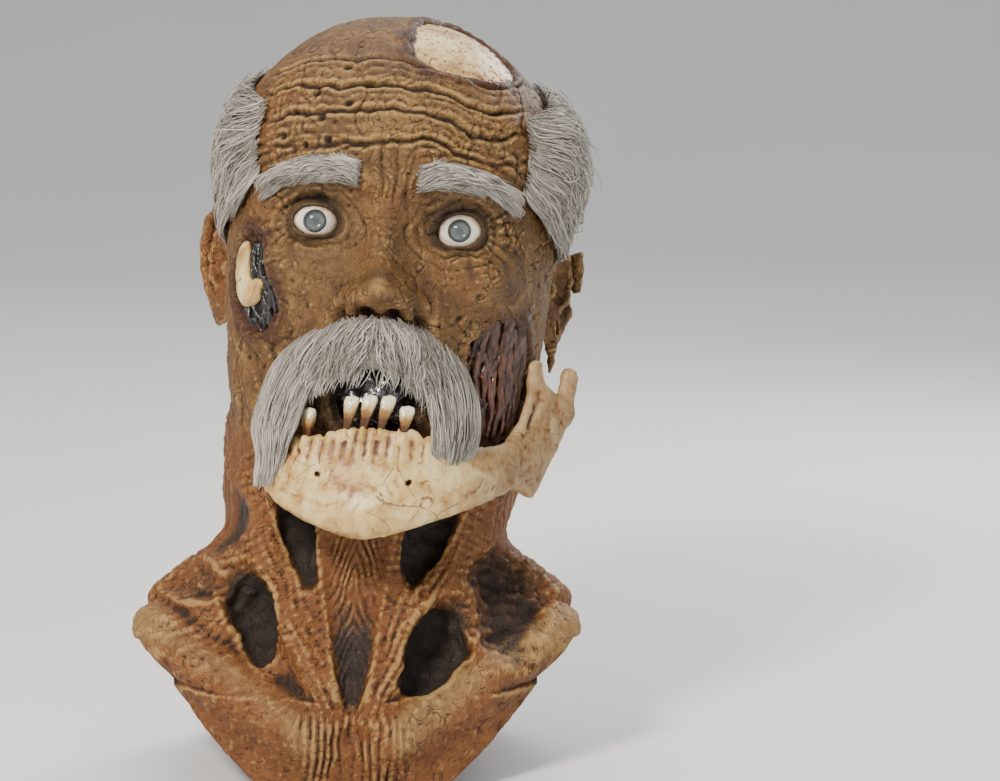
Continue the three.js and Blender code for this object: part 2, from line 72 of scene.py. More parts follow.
form = {
    "domeBase": 365,
    "domeHeight": 100,
    "wall": 4,
    "eyeX": 43.1,
    "eyeZ": 327.5,
    "eyeRadius": 15,
    "eyeSink": 9,
    "irisAhead": 10.3,
    "tiltBack": 9,
    "leanLeft": 4,
    "leftOfNeck": 8,
    "pivot": (0, 12, 150),
    "leanFrom": 110,
    "leanTo": 215,
    "sectionSteps": 40,
    "sections": [
        [-15, 127, 104, 96],
        [20, 132, 98, 95],
        [60, 134, 84, 92],
        [95, 130, 70, 88],
        [122, 113, 63, 84],
        [148, 97, 62, 82],
        [178, 89, 68, 85],
        [208, 92, 84, 92],
        [245, 97, 93, 103],
        [285, 101, 97, 112],
        [325, 103, 100, 118],
        [365, 104, 101, 120],
    ],
}
swells = [
    [[0, -100, 318], [0, -12, 0], [11, 70, 22]],
    [[0, -100, 288], [0, -28, 0], [15, 70, 15]],
    [[0, -95, 248], [0, -8, 0], [34, 70, 20]],
    [[0, -100, 352], [0, -6, 0], [18, 70, 11]],
    [[-37, -60, 150], [0, 14, 0], [13, 45, 32]],
    [[42, -60, 148], [0, 15, 0], [13, 45, 34]],
    [[-62, -66, 98], [4, 17, 0], [15, 45, 23]],
    [[48, -80, 80], [-2, 19, 0], [18, 45, 23]],
    [[95, -45, 112], [-9, 14, 0], [23, 40, 32]],
    [[-90, -20, 150], [9, 7, 0], [22, 34, 22]],
]
ridges = []
for side in (-1, 1):
    swells += [
        [[side * 16, -98, 280], [0, -15, 0], [10, 70, 9]],
        [[side * 35, -95, 352], [0, -9, 0], [27, 70, 10]],
        [[side * form["eyeX"], -95, form["eyeZ"]], [0, 12, 0], [22, 70, 15]],
        [[side * 62, -76, 300], [side * 4, -8, 0], [20, 60, 14]],
        [[side * 60, -74, 252], [side * -4, 8, 0], [18, 60, 24]],
        [[side * 90, -40, 345], [side * -5, 0, 0], [40, 34, 26]],
        [[side * 106, 10, 142], [side * -12, 0, -3], [30, 34, 20]],
    ]
    ridges += [
        [[side * 79, 0, 205], [side * 12, -92, 52], 13, 11],
        [[side * 22, -96, 36], [side * 134, -28, 94], 16, 18],
        [[side * 84, 26, 200], [side * 128, 0, 112], 11, 13],
        [[side * 23, -66, 172], [side * 8, -86, 64], 6, 7],
    ]


def stepUp(value, low, high):
    t = np.clip((value - low) / (high - low), 0, 1)
    return t * t * (3 - 2 * t)


def hill(distance, spread):
    return np.exp(-((distance / spread) ** 2))


def stacked(x, y, z):
    return np.stack(np.broadcast_arrays(x, y, z), axis=-1).astype(float)


def withEnds(places):  # one more place past each end, so that a spline has slopes there
    pts = np.asarray(places, float)
    return np.vstack([2 * pts[0] - pts[1], pts, 2 * pts[-1] - pts[-2]])


def splineTerms(p0, p1, p2, p3, d0, d1, d2):  # the span from p1 to p2: its slope, square and cube terms
    t1 = ((p1 - p0) / d0 - (p2 - p0) / (d0 + d1) + (p2 - p1) / d1) * d1
    t2 = ((p2 - p1) / d1 - (p3 - p1) / (d1 + d2) + (p3 - p2) / d2) * d1
    return t1, -3 * p1 + 3 * p2 - 2 * t1 - t2, 2 * p1 - 2 * p2 + t1 + t2


def sectionTable():
    rows = np.array(form["sections"], float)
    pts = withEnds(rows[:, 1:])
    steps, last = form["sectionSteps"], len(rows) - 2
    heights, values = [], []
    for i in range(len(rows) - 1):
        p0, p1, p2, p3 = pts[i : i + 4]
        d0, d1, d2 = (max(1e-4, np.linalg.norm(b - a)) ** 0.5 for a, b in ((p0, p1), (p1, p2), (p2, p3)))
        slope, square, cube = splineTerms(p0, p1, p2, p3, d0, d1, d2)
        for t in np.linspace(0, 1, steps + 1)[: steps + (i == last)]:
            heights.append(rows[i, 0] + t * (rows[i + 1, 0] - rows[i, 0]))
            values.append(p1 + slope * t + square * t * t + cube * t**3)
    return np.array(heights), np.array(values)


sectionHeights, sectionValues = sectionTable()


def domeShare(z):
    return np.clip((z - form["domeBase"]) / form["domeHeight"], 0, 1)


def sectionAt(z):
    base = np.stack([np.interp(z, sectionHeights, sectionValues[:, i]) for i in range(3)], axis=-1)
    dome = domeShare(z)
    return base * np.sqrt(1 - dome**2)[..., None]


def segmentDistance(p, a, b):
    a, b = np.array(a, float), np.array(b, float)
    t = np.clip(((p - a) @ (b - a)) / ((b - a) @ (b - a)), 0, 1)
    return np.linalg.norm(p - (a + t[..., None] * (b - a)), axis=-1), t


def featureShift(p):
    shift = np.zeros_like(p)
    for centre, push, spread in swells:
        d = (p - np.array(centre, float)) / np.array(spread, float)
        shift += np.exp(-(d**2).sum(-1))[..., None] * np.array(push, float)
    outward = p * [1, 1, 0]
    outward /= np.linalg.norm(outward, axis=-1, keepdims=True) + 1e-9
    for a, b, height, radius in ridges:
        near, _ = segmentDistance(p, a, b)
        shift += outward * (height * hill(near, radius))[..., None]
    return shift


def skinPoint(angle, z, depth=0.0):
    angle, z, depth = np.broadcast_arrays(np.asarray(angle, float), z, depth)
    section = sectionAt(z)
    side, ahead = np.sin(angle), -np.cos(angle)
    reach = np.where(ahead < 0, section[..., 1], section[..., 2])
    outer = stacked(section[..., 0] * side, reach * ahead, z)
    shift = featureShift(outer)
    dome = domeShare(z)
    inwards = depth * np.sqrt(1 - dome**2)
    return outer + shift - stacked(side * inwards, ahead * inwards, depth * dome)


def angleAt(x, z):
    return np.arcsin(np.clip(x / sectionAt(z)[..., 0], -1, 1))


def leaned(p):
    share = stepUp(p[..., 2], form["leanFrom"], form["leanTo"])
    pivot = np.array(form["pivot"], float)
    x, y, z = np.moveaxis(p - pivot, -1, 0)
    a, b = -math.radians(form["tiltBack"]) * share, math.radians(form["leanLeft"]) * share
    y, z = y * np.cos(a) - z * np.sin(a), y * np.sin(a) + z * np.cos(a)
    x, z = x * np.cos(b) + z * np.sin(b), -x * np.sin(b) + z * np.cos(b)
    return stacked(x + form["leftOfNeck"] * share, y, z) + pivot


eyeSurface = float(skinPoint(angleAt(form["eyeX"], np.array(form["eyeZ"])), form["eyeZ"])[1])
eyeCentre = {s: np.array([s * form["eyeX"], eyeSurface + form["eyeSink"], form["eyeZ"]]) for s in (-1, 1)}
irisMiddle = leaned(eyeCentre[1] + [0, -form["irisAhead"], 0])
low, high = (np.array(c) * 1000 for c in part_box("eye_left_iris"))
frameShift = (low + high) / 2 - irisMiddle


def inFrame(p):
    return (leaned(np.asarray(p, float)) + frameShift) * 0.001


# noise, meshes and sculpting

gradients = {}


def roughness(p, size, seed=0, octaves=1, gain=0.5):
    total, strength, reach = 0, 1, 0
    for octave in range(octaves):
        total = total + strength * gradientNoise(np.asarray(p, float) * (2**octave / size), seed + octave)
        reach += strength
        strength *= gain
    return total / reach


def gradientNoise(p, seed):
    if seed not in gradients:
        draw = np.random.default_rng(1000 + seed)
        vectors = draw.normal(size=(256, 3))
        gradients[seed] = (draw.permutation(256), vectors / np.linalg.norm(vectors, axis=1, keepdims=True))
    order, vectors = gradients[seed]
    cell = np.floor(p).astype(np.int64)
    f = p - cell
    u = f**3 * (f * (f * 6 - 15) + 10)
    total = 0
    for dx in (0, 1):
        for dy in (0, 1):
            for dz in (0, 1):
                k = order[(cell[..., 0] + dx) & 255]
                k = order[(k + cell[..., 1] + dy) & 255]
                k = order[(k + cell[..., 2] + dz) & 255]
                weight = 1
                for axis, d in enumerate((dx, dy, dz)):
                    weight = weight * (u[..., axis] if d else 1 - u[..., axis])
                total = total + weight * ((f - [dx, dy, dz]) * vectors[k]).sum(-1)
    return total * 1.6


def folds(phase, sharpness=0.7):  # rounded ridges with sharp valleys, one to each whole number
    return np.abs(np.sin(math.pi * phase)) ** sharpness


def grooves(phase, width):  # narrow valleys in level ground, one at each whole number
    return -np.exp(-((np.sin(math.pi * phase) / width) ** 2))


def cracks(p, size, width, seed):  # thin wandering creases that come and go
    line = np.exp(-((roughness(p, size, seed) / width) ** 2))
    return -line * stepUp(roughness(p, size * 2.2, seed + 40), -0.18, 0.25)


def meshPiece(name, points, faces, attributes=None, smooth=True):
    mesh = bpy.data.meshes.new(name)
    faces = np.asarray(faces, np.int64)
    mesh.vertices.add(len(points))
    mesh.vertices.foreach_set("co", np.asarray(points, np.float32).ravel())
    mesh.loops.add(faces.size)
    mesh.loops.foreach_set("vertex_index", faces.ravel().astype(np.int32))
    mesh.polygons.add(len(faces))
    mesh.polygons.foreach_set("loop_start", (np.arange(len(faces)) * faces.shape[1]).astype(np.int32))
    mesh.polygons.foreach_set("use_smooth", np.full(len(faces), smooth))
    for key, values in (attributes or {}).items():
        layer = mesh.attributes.new(key, "FLOAT", "POINT")
        layer.data.foreach_set("value", np.asarray(values, np.float32).ravel())
    mesh.update(calc_edges=True)
    mesh.validate()
    piece = bpy.data.objects.new(name, mesh)
    bpy.context.collection.objects.link(piece)
    return piece


def walled(piece, millimetres):  # thickened inwards from its outer face
    wall = piece.modifiers.new("wall", "SOLIDIFY")
    wall.thickness = millimetres / 1000
    wall.offset = -1


def finished(piece, finish, slotName, *nodes):
    piece.data.materials.append(finish)
    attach(piece, "root")
    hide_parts(*nodes)
    return piece


def gridFaces(rows, columns, closed=False):
    across = columns if closed else columns - 1
    i, j = np.meshgrid(np.arange(rows - 1), np.arange(across), indexing="ij")
    k = (j + 1) % columns
    a, b = i * columns + j, i * columns + k
    return np.stack([a, b, b + columns, a + columns], -1).reshape(-1, 4)


def outwardFaces(points, faces):
    a, b, c = (points[faces[:, i]] for i in range(3))
    turned = (a * np.cross(b, c)).sum()
    if faces.shape[1] == 4:
        d = points[faces[:, 3]]
        turned += (a * np.cross(c, d)).sum()
    return faces if turned > 0 else faces[:, ::-1]


def sculpted(low, high, voxel, distance):
    axes = [np.arange(l - 3 * voxel, h + 3 * voxel, voxel) for l, h in zip(low, high)]
    field = distance(np.stack(np.meshgrid(*axes, indexing="ij"), -1))
    grid = openvdb.FloatGrid(background=3 * voxel)
    grid.copyFromArray(np.ascontiguousarray(np.clip(field, -3 * voxel, 3 * voxel), dtype=np.float32))
    points, quads = grid.convertToQuads(isovalue=0)
    points = np.asarray(points, float) * voxel + [a[0] for a in axes]
    return points, outwardFaces(points, np.asarray(quads, np.int64))


def pointNormals(points, faces):
    a, b, c = (points[faces[:, i]] for i in range(3))
    flat = np.cross(b - a, c - a)
    if faces.shape[1] == 4:
        flat = np.cross(points[faces[:, 2]] - a, points[faces[:, 3]] - b)
    normals = np.zeros_like(points)
    for i in range(faces.shape[1]):
        np.add.at(normals, faces[:, i], flat)
    return normals / (np.linalg.norm(normals, axis=1, keepdims=True) + 1e-12)


def swollen(points, faces, amount):
    return points + pointNormals(points, faces) * amount[:, None]


def hollowness(points, faces, rounds):
    normals = pointNormals(points, faces)
    near = points.copy()
    edges = np.vstack([faces[:, [i, (i + 1) % faces.shape[1]]] for i in range(faces.shape[1])])
    count = np.bincount(edges.ravel(), minlength=len(points))[:, None] + 1e-9
    for _ in range(rounds):
        total = np.zeros_like(points)
        for axis in range(3):
            total[:, axis] = np.bincount(edges[:, 0], near[edges[:, 1], axis], len(points))
            total[:, axis] += np.bincount(edges[:, 1], near[edges[:, 0], axis], len(points))
        near = total / count
    return ((near - points) * normals).sum(1)


def capsule(p, a, b, startRadius, endRadius=None):
    near, t = segmentDistance(p, a, b)
    return near - (startRadius + ((startRadius if endRadius is None else endRadius) - startRadius) * t)


def lump(p, centre, radii):
    d = (p - np.array(centre, float)) / np.array(radii, float)
    return (np.linalg.norm(d, axis=-1) - 1) * min(radii)


def joined(a, b, soft):
    h = np.clip(0.5 + 0.5 * (b - a) / soft, 0, 1)
    return b + (a - b) * h - soft * h * (1 - h)


def cutBy(a, b, soft):
    return -joined(-a, b, soft)


def chain(p, places, radii, soft=2.0):
    total = None
    for i in range(len(places) - 1):
        link = capsule(p, places[i], places[i + 1], radii[i], radii[i + 1])
        total = link if total is None else joined(total, link, soft)
    return total

# shaders


class Wire:  # one output socket, so that shader maths reads as plain expressions
    def __init__(self, finish, socket):
        self.finish = finish
        self.socket = socket

    def maths(self, operation, first, second=None):
        sockets = {0: first} if second is None else {0: first, 1: second}
        return self.finish.add("ShaderNodeMath", {"operation": operation}, sockets)

    def __add__(self, other):
        return self.maths("ADD", self, other)

    __radd__ = __add__

    def __sub__(self, other):
        return self.maths("SUBTRACT", self, other)

    def __rsub__(self, other):
        return self.maths("SUBTRACT", other, self)

    def __mul__(self, other):
        return self.maths("MULTIPLY", self, other)

    __rmul__ = __mul__

    def __pow__(self, other):
        return self.maths("POWER", self, other)

    def between(self, low, high):  # 0 at low, 1 at high
        settings = {"interpolation_type": "SMOOTHSTEP"}
        return self.finish.add(
            "ShaderNodeMapRange", settings, {"Value": self, "From Min": low, "From Max": high}
        )


class Finish:  # a material and the nodes behind it
    def __init__(self, name, **constants):
        self.material = bpy.data.materials.new(name)
        self.material.use_nodes = True
        self.tree = self.material.node_tree
        self.shader = self.tree.nodes["Principled BSDF"]
        for key, value in constants.items():
            self.shader.inputs[key.replace("_", " ")].default_value = value
        self.place = self.add("ShaderNodeTexCoord", {}, {}, "Object")

    def add(self, kind, settings, sockets, output=0):
        node = self.tree.nodes.new(kind)
        for key, value in settings.items():
            if key == "stops":
                ramp = node.color_ramp
                while len(ramp.elements) < len(value):
                    ramp.elements.new(0.5)
                for element, (position, colour) in zip(ramp.elements, value):
                    element.position = position
                    element.color = (*colour, 1)
            else:
                setattr(node, key, value)
        for key, value in sockets.items():
            self.feed(node.inputs[key], value)
        return Wire(self, node.outputs[output])

    def feed(self, socket, value):
        if isinstance(value, Wire):
            self.tree.links.new(value.socket, socket)
        elif isinstance(value, (tuple, list)) and len(value) == 3 and socket.type == "RGBA":
            socket.default_value = (*value, 1)
        else:
            socket.default_value = value

    def reading(self, name):
        return self.add("ShaderNodeAttribute", {"attribute_name": name}, {}, "Fac")

    def colours(self, amount, first, second, mode="MIX"):
        settings = {"data_type": "RGBA", "blend_type": mode}
        return self.add("ShaderNodeMix", settings, {0: amount, 6: first, 7: second}, 2)

    def ramp(self, value, *stops):
        return self.add("ShaderNodeValToRGB", {"stops": stops}, {0: value})

    def stretched(self, scale):
        settings = {"operation": "MULTIPLY"}
        return self.add("ShaderNodeVectorMath", settings, {0: self.place, 1: scale})

    def warped(self, millimetres, amount):  # the place, pushed about by a cloud
        colour = self.add("ShaderNodeTexNoise", {}, {"Vector": self.place, "Scale": 1000 / millimetres}, 1)
        push = (amount / 1000,) * 3
        return self.add(
            "ShaderNodeVectorMath", {"operation": "MULTIPLY_ADD"}, {0: colour, 1: push, 2: self.place}
        )

    def cloud(self, millimetres, detail=4, rough=0.55, where=None, warp=0.0):
        sockets = {
            "Vector": where or self.place,
            "Scale": 1000 / millimetres,
            "Detail": detail,
            "Roughness": rough,
            "Distortion": warp,
        }
        return self.add("ShaderNodeTexNoise", {}, sockets)

    def cells(self, millimetres, feature="DISTANCE_TO_EDGE", where=None):
        sockets = {"Vector": where or self.place, "Scale": 1000 / millimetres}
        return self.add("ShaderNodeTexVoronoi", {"feature": feature}, sockets)

    def bumps(self, *layers):  # each is a height and how far it stands, in millimetres
        normal = None
        for height, stands in layers:
            sockets = {"Height": height, "Distance": stands / 1000, "Strength": 1.0}
            if normal:
                sockets["Normal"] = normal
            normal = self.add("ShaderNodeBump", {}, sockets)
        self.feed(self.shader.inputs["Normal"], normal)

    def paint(self, **values):
        for key, value in values.items():
            self.feed(self.shader.inputs[key.replace("_", " ")], value)
        return self.material


# the latex skin

skinDetail = {
    "columns": 400,
    "domeRows": 118,
    "faceRows": 208,
    "neckRows": 140,
    "faceLow": 196,
    "frontPull": 0.55,
    "slitHalf": 1.5,
    "slitTop": 205,
    "collarFlat": 40,
    "collarSide": 132,
    "shoulderRim": 84,
    "lid": 2.0,
    "eyeHalfWidth": 13.6,
    "eyeOpenings": {-1: (9.2, 8.6), 1: (10.4, 10.0)},
    "mouth": (222, 28, 22),
    "cheek": (math.radians(52), 240, 26, 39),
    "bone": (math.radians(-54), 290, 24, 31),
    "plate": (0.06, 1.12, 418, 461),
    "warts": 150,
    "pits": 60,
    "worms": [
        (-60, 392),
        (-47, 404),
        (-43, 389),
        (-30, 421),
        (-27, 398),
        (-52, 372),
        (-66, 377),
        (-16, 411),
        (-38, 375),
    ],
    "farOff": 99,
}


def rimHeight(x):
    d = skinDetail
    t = np.linspace(0, 1, 60)
    flat, far, top = d["collarFlat"], d["collarSide"], d["shoulderRim"]
    xs = (
        (1 - t) ** 3 * flat + 3 * (1 - t) ** 2 * t * (flat + 28) + 3 * (1 - t) * t**2 * (far - 22)
        + t**3 * far
    )
    zs = 3 * (1 - t) ** 2 * t * 6 + 3 * (1 - t) * t**2 * (top - 26) + t**3 * top
    return np.interp(np.abs(x), [0, *xs, 200], [0, *zs, top + 10])


def windowSpot(p, angle, z):
    aim = skinPoint(np.array(angle), z)
    turn = math.atan2(aim[0], -aim[1])
    across = p[..., 0] * math.cos(turn) + p[..., 1] * math.sin(turn)
    ahead = p[..., 0] * math.sin(turn) - p[..., 1] * math.cos(turn)
    return across, p[..., 2] - z, ahead


def outlineRoom(p, angle, z, halfWidth, halfHeight, ragged, seed):
    across, up, ahead = windowSpot(p, angle, z)
    reach = np.hypot(across / halfWidth, up / halfHeight)
    tear = ragged * roughness(p, 11, seed, 3)
    room = (reach - 1) * min(halfWidth, halfHeight) + tear
    return np.where(ahead > 20, room, skinDetail["farOff"])


def eyeRoom(p, side):
    upper, lower = skinDetail["eyeOpenings"][side]
    x = (p[..., 0] - side * form["eyeX"]) / skinDetail["eyeHalfWidth"]
    z = p[..., 2] - form["eyeZ"] - 0.8 * x * side
    height = np.where(z > 0, upper, lower)
    reach = (np.abs(x) ** 2.0 + np.abs(z / height) ** 1.9) ** 0.5
    return np.where(p[..., 1] < 0, (reach - 1) * 10.5, skinDetail["farOff"])


def plateRoom(angle, p):
    a, b, low, high = skinDetail["plate"]
    u = (angle - (a + b) / 2) / ((b - a) / 2)
    middle, half = (low + high) / 2, (high - low) / 2
    v = (p[..., 2] - middle) / half
    reach = (np.abs(u) ** 3 + np.abs(v) ** 3) ** (1 / 3)
    return (reach - 0.93) * 26 + 2.6 * roughness(p, 14, 71, 3)


def skinGrid():
    d = skinDetail
    rows = d["domeRows"] + d["faceRows"] + d["neckRows"]
    seam = d["slitHalf"] / 112
    round_ = np.linspace(-math.pi + seam, math.pi - seam, d["columns"])
    angle = round_ - d["frontPull"] * np.sin(round_)
    domeZ = form["domeBase"] + form["domeHeight"] * np.cos(np.linspace(0.012, math.pi / 2, d["domeRows"]))
    faceZ = np.linspace(form["domeBase"], d["faceLow"], d["faceRows"] + 1)[1:]
    rim = rimHeight(sectionAt(np.full(angle.shape, 60.0))[:, 0] * np.sin(angle))
    for _ in range(6):
        rim = rimHeight(skinPoint(angle, rim)[:, 0])
    share = np.linspace(0, 1, d["neckRows"] + 1)[1:]
    z = np.empty((rows, d["columns"]))
    z[: d["domeRows"]] = domeZ[:, None]
    z[d["domeRows"] : d["domeRows"] + d["faceRows"]] = faceZ[:, None]
    z[-d["neckRows"] :] = d["faceLow"] + (rim - d["faceLow"]) * share[:, None]
    return np.broadcast_to(angle, z.shape), skinPoint(angle[None], z)


def gridNormals(p):
    down = np.gradient(p, axis=0)
    across = np.gradient(p, axis=1)
    n = np.cross(down, across)
    n /= np.linalg.norm(n, axis=-1, keepdims=True) + 1e-9
    outward = (n * (p - [0, 5, 0]))[100:, :].sum()
    return n if outward > 0 else -n


def softened(values, rounds):
    for _ in range(rounds):
        padded = np.pad(values, [(1, 1), (1, 1)] + [(0, 0)] * (values.ndim - 2), mode="edge")
        values = (
            (padded[:-2, 1:-1] + padded[2:, 1:-1] + padded[1:-1, :-2] + padded[1:-1, 2:] + 2 * values)
            / 6
        )
    return values


def spots(p, places, radius, height):
    total = np.zeros(p.shape[:-1])
    for place, r, h in zip(places, radius, height):
        near = np.abs(p - place).max(-1) < r * 3
        total[near] += h * np.exp(-(((p[near] - place) ** 2).sum(-1)) / r**2)
    return total


foldMean = 0.6  # about what folds() gives on average, so that folds neither raise nor sink the skin


def faceFolds(p, x, z, front):
    ax = np.abs(x)
    total = np.zeros_like(x)
    lift = 9 * roughness(p, 46, 3) + 3.2 * roughness(p, 15, 4, 2)
    # forehead: a few deep level furrows that lift over each brow, with light ones between
    zone = stepUp(z, 364, 376) * stepUp(z, 440, 420) * stepUp(ax, 86, 62) * front
    phase = (z + lift - 4 * np.cos(ax / 17)) / 17.0
    depth = 0.75 + 0.5 * roughness(p, 26, 2)
    total += zone * (3.9 * depth * grooves(phase, 0.30) + 1.0 * (folds(phase * 3, 0.8) - foldMean) + 1.0)
    # between the brows: upright folds that fan out upwards
    zone = hill(x, 15) * stepUp(z, 334, 346) * stepUp(z, 386, 368) * front
    fan = x / (7.0 + 0.07 * (z - 340)) + 0.5 + 0.22 * roughness(p, 15, 5)
    total += zone * 2.6 * (folds(fan, 0.8) - foldMean)
    for side in (-1, 1):
        # over and under each eye: folds that follow the lids
        room = eyeRoom(p, side) + 3.4 * roughness(p, 12, 6 + side, 2)
        patchy = 0.7 + 0.9 * roughness(p, 17, 66 + side)
        below = stepUp(form["eyeZ"] + 4 - z, 0, 6)
        zone = stepUp(room, 2, 5) * stepUp(room, 22, 10) * front
        total += (
            zone * patchy * (1.3 + 1.3 * below)
            * (folds((room - 1.0) / (5.0 + 1.2 * below), 0.8) - foldMean)
        )
        # arcs over each brow
        arch = np.hypot((side * x - 40) / 1.5, z - 338) + 1.5 * roughness(p, 14, 8)
        zone = stepUp(z, 356, 362) * stepUp(z, 384, 372) * stepUp(side * x, 12, 22) * front
        total += zone * 1.5 * (folds(arch / 5.5, 0.8) - foldMean)
        # the outer corner: creases that fan towards the temple
        dx, dz = side * x - (form["eyeX"] + 10), z - form["eyeZ"]
        turn = np.arctan2(dz, dx)
        away = np.hypot(dx, dz)
        zone = (
            stepUp(away, 6, 13) * stepUp(away, 36, 20) * stepUp(np.abs(turn), 1.3, 0.7)
            * (side * x > 0) * front
        )
        total += zone * 1.8 * (folds(turn * 2.7 + 0.3 * roughness(p, 12, 9), 0.8) - foldMean)
        # the bag under the eye, and the fold from the nose past the mouth
        bag = np.hypot((side * x - form["eyeX"] + 1) / 17, (z - form["eyeZ"] + 17) / 7.5)
        total += 2.8 * np.exp(-(bag**4)) * front
        off = side * x - (23 + 16 * stepUp(z, 282, 214))
        zone = stepUp(z, 290, 278) * stepUp(z, 196, 214) * front
        total += zone * (3.2 * hill(off - 8, 7) - 3.8 * hill(off, 2.8))
        # slack cheek: long folds that hang from the cheekbone
        zone = (
            stepUp(side * x, 40, 54) * stepUp(z, 282, 258) * stepUp(z, 172, 206)
            * stepUp(p[..., 1], 10, -16)
        )
        sag = (side * x * 0.8 - 0.3 * z + 5 * roughness(p, 24, 12)) / 10.5
        total += zone * 1.9 * (folds(sag, 0.8) - foldMean)
    # nose: a fuller tip, a crease round each wing and ripples over the bridge
    total += front * 3.0 * np.exp(-((x / 12) ** 2 + ((z - 287) / 10) ** 2))
    wing = np.hypot((ax - 17) / 9.5, (z - 281) / 9) + 0.06 * roughness(p, 8, 14)
    total -= front * 1.9 * hill(wing - 1.35, 0.24) * stepUp(ax, 8, 14) * stepUp(z, 296, 284)
    zone = hill(x, 12) * stepUp(z, 298, 308) * stepUp(z, 336, 328) * front
    total += zone * 1.2 * (folds((z + 2 * roughness(p, 14, 15)) / 6.5, 0.8) - foldMean)
    return total


neckLines = {
    "tendon": ((79, 0, 205), (12, -92, 52)),
    "collarSkin": ((24, -96, 36), (134, -28, 94)),
    "collarBone": ((27, -96, 38), (134, -28, 94)),
}


def fromNeckLine(p, name, side):
    a, b = ([side * x, y, z] for x, y, z in neckLines[name])
    return segmentDistance(p, a, b)[0]


neckHollows = [  # across, height, half width, half height, depth, and how dark the painted shade in it is
    (-37, 152, 11, 31, 5.0, 1.0),
    (43, 150, 12, 33, 6.0, 1.0),
    (-61, 98, 14, 23, 6.0, 1.0),
    (48, 80, 17, 22, 6.5, 1.0),
    (94, 112, 22, 33, 5.0, 0.55),
    (-86, 152, 16, 17, 3.0, 0.8),
    (-104, 118, 24, 9, 3.5, 0.3),
]


def neckForms(p, x, z, front):
    total = np.zeros_like(x)
    dark = np.zeros_like(x)
    for cx, cz, halfWidth, halfHeight, depth, paint in neckHollows:
        slant = -0.32 * np.sign(cx) * (z - cz) * (abs(cx) < 70)
        off = np.hypot((x - cx + slant) / halfWidth, (z - cz) / halfHeight)
        off = off + 0.30 * roughness(p, 17, 60 + int(abs(cx)), 3)
        off = off * (1 + 0.22 * np.clip((cz - z) / halfHeight, -1, 1) * (abs(cx) < 70))
        well = np.exp(-(off**5)) * stepUp(-p[..., 1], 0, 18) * (1 + 0.5 * roughness(p, 8, 64, 2))
        lip = hill(off - 1.28, 0.2) * stepUp(-p[..., 1], 0, 18)
        total += -1.35 * depth * well + 1.6 * lip
        # painted shade: each hollow's sunk middle is marked dark, as strongly as its last column says
        dark = np.maximum(dark, paint * np.exp(-((off / 1.04) ** 6)) * stepUp(-p[..., 1], 0, 18))
    # the throat's panel, sunk between its two cords
    half = np.interp(z, [54, 70, 120, 175], [3, 9, 16, 22])
    panel = np.exp(-((np.abs(x) / half) ** 6)) * stepUp(z, 50, 60) * front
    total -= 2.6 * panel
    cord = hill(np.abs(x) - half - 3.0, 2.6) * stepUp(z, 54, 66) * front
    total += 2.2 * cord
    # painted shade: the throat's sunk panel is marked dark too, low on the neck
    dark = np.maximum(dark, 0.75 * panel * stepUp(z, 130, 84))
    return total, dark, panel


def neckFolds(p, x, z, front):
    ax = np.abs(x)
    total, dark, panel = neckForms(p, x, z, front)
    # throat: creases in a herringbone that runs down to the notch
    bone = (z * 0.55 + ax * 1.3 + 9 * roughness(p * [1, 1, 0.5], 20, 20, 3)) / 6.0
    total += panel * (1.5 + 1.2 * roughness(p, 12, 19)) * (folds(bone, 0.75) - foldMean)
    # tendons: long fibres over a pitted ground
    cords = np.zeros_like(x)
    for side in (-1, 1):
        near = fromNeckLine(p, "tendon", side)
        band = np.exp(-((near / 15) ** 4)) * front
        cords += band
        along = (side * x * 0.9 - 0.45 * (z - 120) + 5 * roughness(p * [1, 1, 0.6], 22, 21, 2)) / 5.4
        total += band * (1.0 + 1.1 * roughness(p, 15, 62)) * (folds(along, 0.8) - foldMean)
        total += band * 0.9 * roughness(p * [1, 1, 1.6], 4.5, 26, 2)
        near = fromNeckLine(p, "collarSkin", side)
        collar = np.exp(-((near / 19) ** 4)) * stepUp(side * x, 16, 30)
        total += collar * 0.8 * roughness(p * [0.5, 0.5, 1], 5.5, 24, 2)
        total += 2.0 * np.exp(-((np.hypot(side * x - 27, z - 44) / 15) ** 4)) * front
    # breastbone: upright creases that spread under the collarbones' ends
    chest = stepUp(z, 60, 44) * stepUp(ax, 46, 18) * front
    upright = (x * (1 + 0.004 * z) + 6 * roughness(p * [1, 1, 0.6], 20, 23, 2)) / 6.0
    total += chest * (1.7 + 1.6 * roughness(p, 16, 63)) * (folds(upright, 0.75) - foldMean)
    # level creases in the oval hollow on the left and on the shoulder's slopes
    oval = np.exp(-(np.hypot((x - 94) / 24, (z - 112) / 36) ** 4)) * (p[..., 1] < 5)
    total += oval * 1.3 * (folds((z + 0.15 * x + 3 * roughness(p, 15, 25)) / 6.4, 0.75) - foldMean)
    slope = (1 - np.clip(dark + panel + chest + cords, 0, 1)) * (1 - oval) * (0.2 + 0.8 * front)
    sheet = (z * 0.8 + ax * 0.5 + 6 * roughness(p * [0.6, 0.6, 1], 20, 28, 2)) / 5.2
    total += slope * stepUp(z, 70, 100) * 1.1 * (folds(sheet, 0.75) - foldMean)
    total += slope * stepUp(z, 100, 70) * 0.8 * roughness(p * [0.7, 0.7, 1], 7, 29, 2)
    return total, dark


